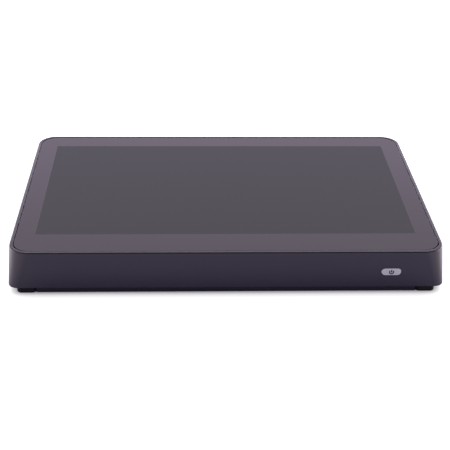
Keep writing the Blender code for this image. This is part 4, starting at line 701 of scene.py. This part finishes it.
gilt, moulding = bmesh.new(), bmesh.new()
for name in stacked:
    across, middle, face = socket_middle(name)
    for height in (middle - DECK_RISE, middle + DECK_RISE):
        add_tongue(moulding, across, height, face, DECK_HALF, DECK_BACK)
        add_contacts(
            gilt, (across, height - CONTACT_RISE), count=4, pitch=0.0022, width=0.0011,
            inner=face - 0.0140, outer=face - 0.0024,
        )
across, height, face = socket_middle("video_socket")
add_tongue(moulding, across, height, face, VIDEO_HALF, VIDEO_BACK)
add_contacts(
    gilt, (across, height + CONTACT_RISE), count=10, pitch=0.0010, width=0.0005,
    inner=face - 0.0090, outer=face - 0.0020,
)
for name, count, rise in (("network_socket", 8, 0.0037), ("drawer_socket", 6, 0.0029)):
    across, height, face = socket_middle(name)
    add_contacts(
        gilt, (across, height + rise), count, pitch=0.00102, width=0.0005,
        inner=face - 0.0150, outer=face - 0.0016, drop=0.0030, thick=0.0004,
    )

SERIAL_HALF_HEIGHT = 0.00625
PLUG_HALF, PLUG_FRONT, PLUG_BACK = Vector((0.0079, 0.0035)), 0.0005, 0.0071
PIN_PITCH, PIN_ROW, PIN_MIDDLE, PIN_LENGTH = 0.00277, 0.00142, 0.00115, 0.0034
PIN_TIP, PIN_ROOT = 0.00042, 0.00055

across = socket_middle("serial_socket")[0]
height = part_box("serial_socket")[1].z - SERIAL_HALF_HEIGHT
face = socket_middle("audio_socket")[2]
plug_low = (across - PLUG_HALF.x, face - PLUG_BACK, height - PLUG_HALF.y)
add_block(moulding, plug_low, (across + PLUG_HALF.x, face - PLUG_FRONT, height + PLUG_HALF.y))
for row, count in ((PIN_ROW, 5), (-PIN_ROW, 4)):
    for step in range(count):
        spot = (across + (step - (count - 1) / 2) * PIN_PITCH, face + PIN_MIDDLE, height + row)
        bmesh.ops.create_cone(
            gilt, cap_ends=True, segments=16, radius1=PIN_TIP, radius2=PIN_ROOT, depth=PIN_LENGTH,
            matrix=Matrix.Translation(spot) @ Matrix.Rotation(math.pi / 2, 4, "X"),
        )
seat_detail("socket_contacts", gilt, gilt_finish, "terminal")
seat_detail("socket_tongues", moulding, black_finish, "terminal")

BORE, BORE_DEPTH, BORE_WALL = 0.0017, 0.0030, 0.0001
COLLAR_RADIUS, COLLAR_ROUND = 0.0023, 0.0005
INLET_PIN, INLET_PIN_ROUND, INLET_PIN_BACK, INLET_PIN_FRONT = 0.00106, 0.0005, -0.0105, -0.0011

collar = bmesh.new()
profile = [(BORE, -BORE_DEPTH), (BORE + BORE_WALL, -BORE_DEPTH)]
profile += quarter((COLLAR_RADIUS, 0), COLLAR_ROUND, -90, 90, steps=6)
profile += [(BORE, COLLAR_ROUND), (BORE, -BORE_DEPTH)]
spun(collar, profile)
into_socket(collar, "audio_socket")
seat_detail("audio_socket_ring", collar, shell_finish, "terminal")
pin = bmesh.new()
pin_round = (INLET_PIN - INLET_PIN_ROUND, INLET_PIN_FRONT - INLET_PIN_ROUND)
profile = [(0, INLET_PIN_BACK), (INLET_PIN, INLET_PIN_BACK)]
profile += quarter(pin_round, INLET_PIN_ROUND, 0, 90) + [(0, INLET_PIN_FRONT)]
spun(pin, profile)
into_socket(pin, "dc_inlet")
seat_detail("inlet_pin", pin, shell_finish, "terminal")


# The power switch stands on its own small board behind the front wall. Its plunger is
# pushed by the button's stem, and a moulded guide keeps the button square.
GUIDE_EASE, PLUNGER_EASE = 0.00015, 0.0001

plunger_finish = moulded_plastic("plunger_plastic", (0.30, 0.29, 0.31), roughness=0.5, grain=0.2)
seat_copy("button_guide", "terminal", black_finish, GUIDE_EASE)
seat_copy("switch_body", "terminal", black_finish, GUIDE_EASE)
seat_copy("switch_plunger", "plunger", plunger_finish, PLUNGER_EASE)


# The bottom cover is one moulding in a duller black plastic, with a shallow plinth, vent
# slots, speaker grilles and screw wells. A hatch over the plug-in cards lies flush in it.
COVER_COLOUR = (0.0120, 0.0098, 0.0230)
COVER_EASE = 0.00018

cover_finish = moulded_plastic("moulded_cover", COVER_COLOUR, roughness=0.55, grain=0.5, specular=0.4)
seat_copy("bottom_cover", "terminal", cover_finish, COVER_EASE, segments=1)
seat_copy("service_hatch", "terminal", cover_finish, COVER_EASE, segments=1)


# The four feet are soft black rubber blocks with rounded corners, pushed into the corners
# of the plinth. A barbed peg snaps through the cover and keeps each of them there.
RUBBER_COLOUR = (0.0060, 0.0058, 0.0070)
RUBBER_DARK, RUBBER_PALE = (0.0045, 0.0043, 0.0052), (0.0080, 0.0078, 0.0090)
FOOT_HALF, FOOT_CORNER, FOOT_TOP = Vector((0.0078, 0.0078)), 0.0031, 0.0074
TREAD_ROUND, TOP_ROUND = 0.0009, 0.00045
PEG_FOOT, PEG_NECK, PEG_TIP = 0.0060, 0.0100, 0.0134
PEG_RADIUS, BARB_RADIUS, TIP_RADIUS = 0.0030, 0.0042, 0.0022


def plan_middle(node):
    """The middle of a solid's box as seen from above, at the height of the ground."""
    low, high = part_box(node)
    return Vector(((low.x + high.x) / 2, (low.y + high.y) / 2, 0))


rubber_finish, shader, place = new_finish(
    "foot_rubber", RUBBER_COLOUR, roughness=0.75, Specular_IOR_Level=0.32
)
cloud = place.noise(220.0, detail=4.0)
feed(
    shader,
    Base_Color=cloud.blend(RUBBER_DARK, RUBBER_PALE),
    Roughness=cloud.around(0.76, 0.10),
    Normal=place.noise(2400.0).bump(0.00004, strength=0.5),
)
peg = [(0, PEG_FOOT), (PEG_RADIUS, PEG_FOOT), (PEG_RADIUS, PEG_NECK)]
peg += [(BARB_RADIUS, PEG_NECK), (TIP_RADIUS, PEG_TIP), (0, PEG_TIP)]
block = quarter((0, TREAD_ROUND), TREAD_ROUND, -90, 0, steps=5)
block += quarter((TREAD_ROUND - TOP_ROUND, FOOT_TOP - TOP_ROUND), TOP_ROUND, 0, 90, steps=3)
for name in ("foot_front_left", "foot_front_right", "foot_rear_left", "foot_rear_right"):
    bm = bmesh.new()
    spun(bm, peg, steps=24)
    face = plan_face(bm, -FOOT_HALF, FOOT_HALF, FOOT_CORNER, height=0, steps=8)
    walk(bm, face, block)
    close_and_place(bm, Matrix.Translation(plan_middle(name)))
    seat_piece(shell_object(name + "_block", bm, rubber_finish), "terminal", name)


# Black steel screws hold the cover from below, in wells, and the hatch. Their heads have
# a pressed cross: rounded pan heads on the cover, and flat countersunk ones on the hatch.
SCREW_COLOUR = (0.050, 0.050, 0.053)
SCREW_RADIUS, TIP_CHAMFER = 0.0014, 0.0002
PAN_RADIUS, PAN_ROUND = 0.0026, 0.0007
PAN_CROWN, PAN_EDGE, PAN_SEAT, PAN_TIP = 0.0064, 0.0066, 0.0082, 0.0164
FLAT_RADIUS, FLAT_EDGE = 0.0025, 0.0001
FLAT_FACE, FLAT_SEAT, FLAT_TIP = 0.0007, 0.0019, 0.0060
CROSS_MOUTH, CROSS_FLOOR, CROSS_DEPTH = 0.0021, 0.0006, 0.0016
CROSS_NARROW, CROSS_TURN, CROSS_RISE = 0.30, 20, 0.0004


def cross_recess(name, spot):
    """The tapered cross that a screwdriver turns, as a cutter that opens downwards."""
    made = []
    for angle in (CROSS_TURN, CROSS_TURN + 90):
        bm = bmesh.new()
        bmesh.ops.create_cone(
            bm, cap_ends=True, segments=4, radius1=CROSS_MOUTH, radius2=CROSS_FLOOR,
            depth=CROSS_DEPTH, matrix=Matrix.Rotation(math.radians(45), 4, "Z"),
        )
        bmesh.ops.scale(bm, vec=(1, CROSS_NARROW, 1), verts=bm.verts)
        close_and_place(bm, Matrix.Translation(spot) @ Matrix.Rotation(math.radians(angle), 4, "Z"))
        made.append(shell_object(name, bm, screw_finish))
    return made


screw_finish = rolled_metal("black_screw_steel", SCREW_COLOUR, roughness=0.38, grain=0.2)
pan_head = [(0, PAN_TIP), (SCREW_RADIUS, PAN_TIP - TIP_CHAMFER)]
pan_head += [(SCREW_RADIUS, PAN_SEAT), (PAN_RADIUS, PAN_SEAT)]
pan_head += quarter((PAN_RADIUS - PAN_ROUND, PAN_EDGE + PAN_ROUND), PAN_ROUND, 0, -90, steps=5)
pan_head += [(0, PAN_CROWN)]
flat_head = [(0, FLAT_TIP), (SCREW_RADIUS, FLAT_TIP - TIP_CHAMFER / 2), (SCREW_RADIUS, FLAT_SEAT)]
flat_head += [(FLAT_RADIUS, FLAT_FACE + FLAT_EDGE), (FLAT_RADIUS - FLAT_EDGE, FLAT_FACE)]
flat_head += [(0, FLAT_FACE)]
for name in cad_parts:
    if "screw" in name:
        bm = bmesh.new()
        spun(bm, pan_head if "cover" in name else flat_head, steps=28)
        middle = plan_middle(name)
        bmesh.ops.translate(bm, vec=middle, verts=bm.verts)
        screw = shell_object(name + "_turned", bm, screw_finish)
        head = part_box(name)[0].z
        cut_away(screw, cross_recess(name, (middle.x, middle.y, head + CROSS_RISE)))
        seat_piece(screw, "terminal", name)


# Four turned brass inserts are pressed into the bottom cover round the stand's place. The
# screws of a stand turn into their threads.
BRASS_COLOUR = (0.66, 0.45, 0.16)
INSERT_RADIUS, INSERT_CHAMFER, INSERT_MOUTH = 0.0030, 0.0002, 0.0019
THREAD_CREST, THREAD_ROOT, THREAD_START = 0.0017, 0.00205, 0.0004
THREAD_PITCH, THREAD_TURNS = 0.0007, 9

brass_finish = rolled_metal("turned_brass", BRASS_COLOUR, roughness=0.30, grain=0.3)
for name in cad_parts:
    if name.startswith("stand_insert"):
        foot, top = (corner.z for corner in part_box(name))
        profile = [(INSERT_MOUTH, foot)]
        for turn in range(THREAD_TURNS):
            rise = foot + THREAD_START + THREAD_PITCH * turn
            profile += [(THREAD_CREST, rise), (THREAD_ROOT, rise + THREAD_PITCH / 2)]
        profile += [(THREAD_CREST, top), (INSERT_RADIUS - INSERT_CHAMFER, top)]
        profile += [(INSERT_RADIUS, top - INSERT_CHAMFER), (INSERT_RADIUS, foot + INSERT_CHAMFER)]
        profile += [(INSERT_RADIUS - INSERT_CHAMFER, foot), (INSERT_MOUTH, foot)]
        bm = bmesh.new()
        spun(bm, profile, steps=28)
        bmesh.ops.translate(bm, vec=plan_middle(name), verts=bm.verts)
        insert = shell_object(name + "_turned", bm, brass_finish)
        seat_piece(insert, "terminal", name)
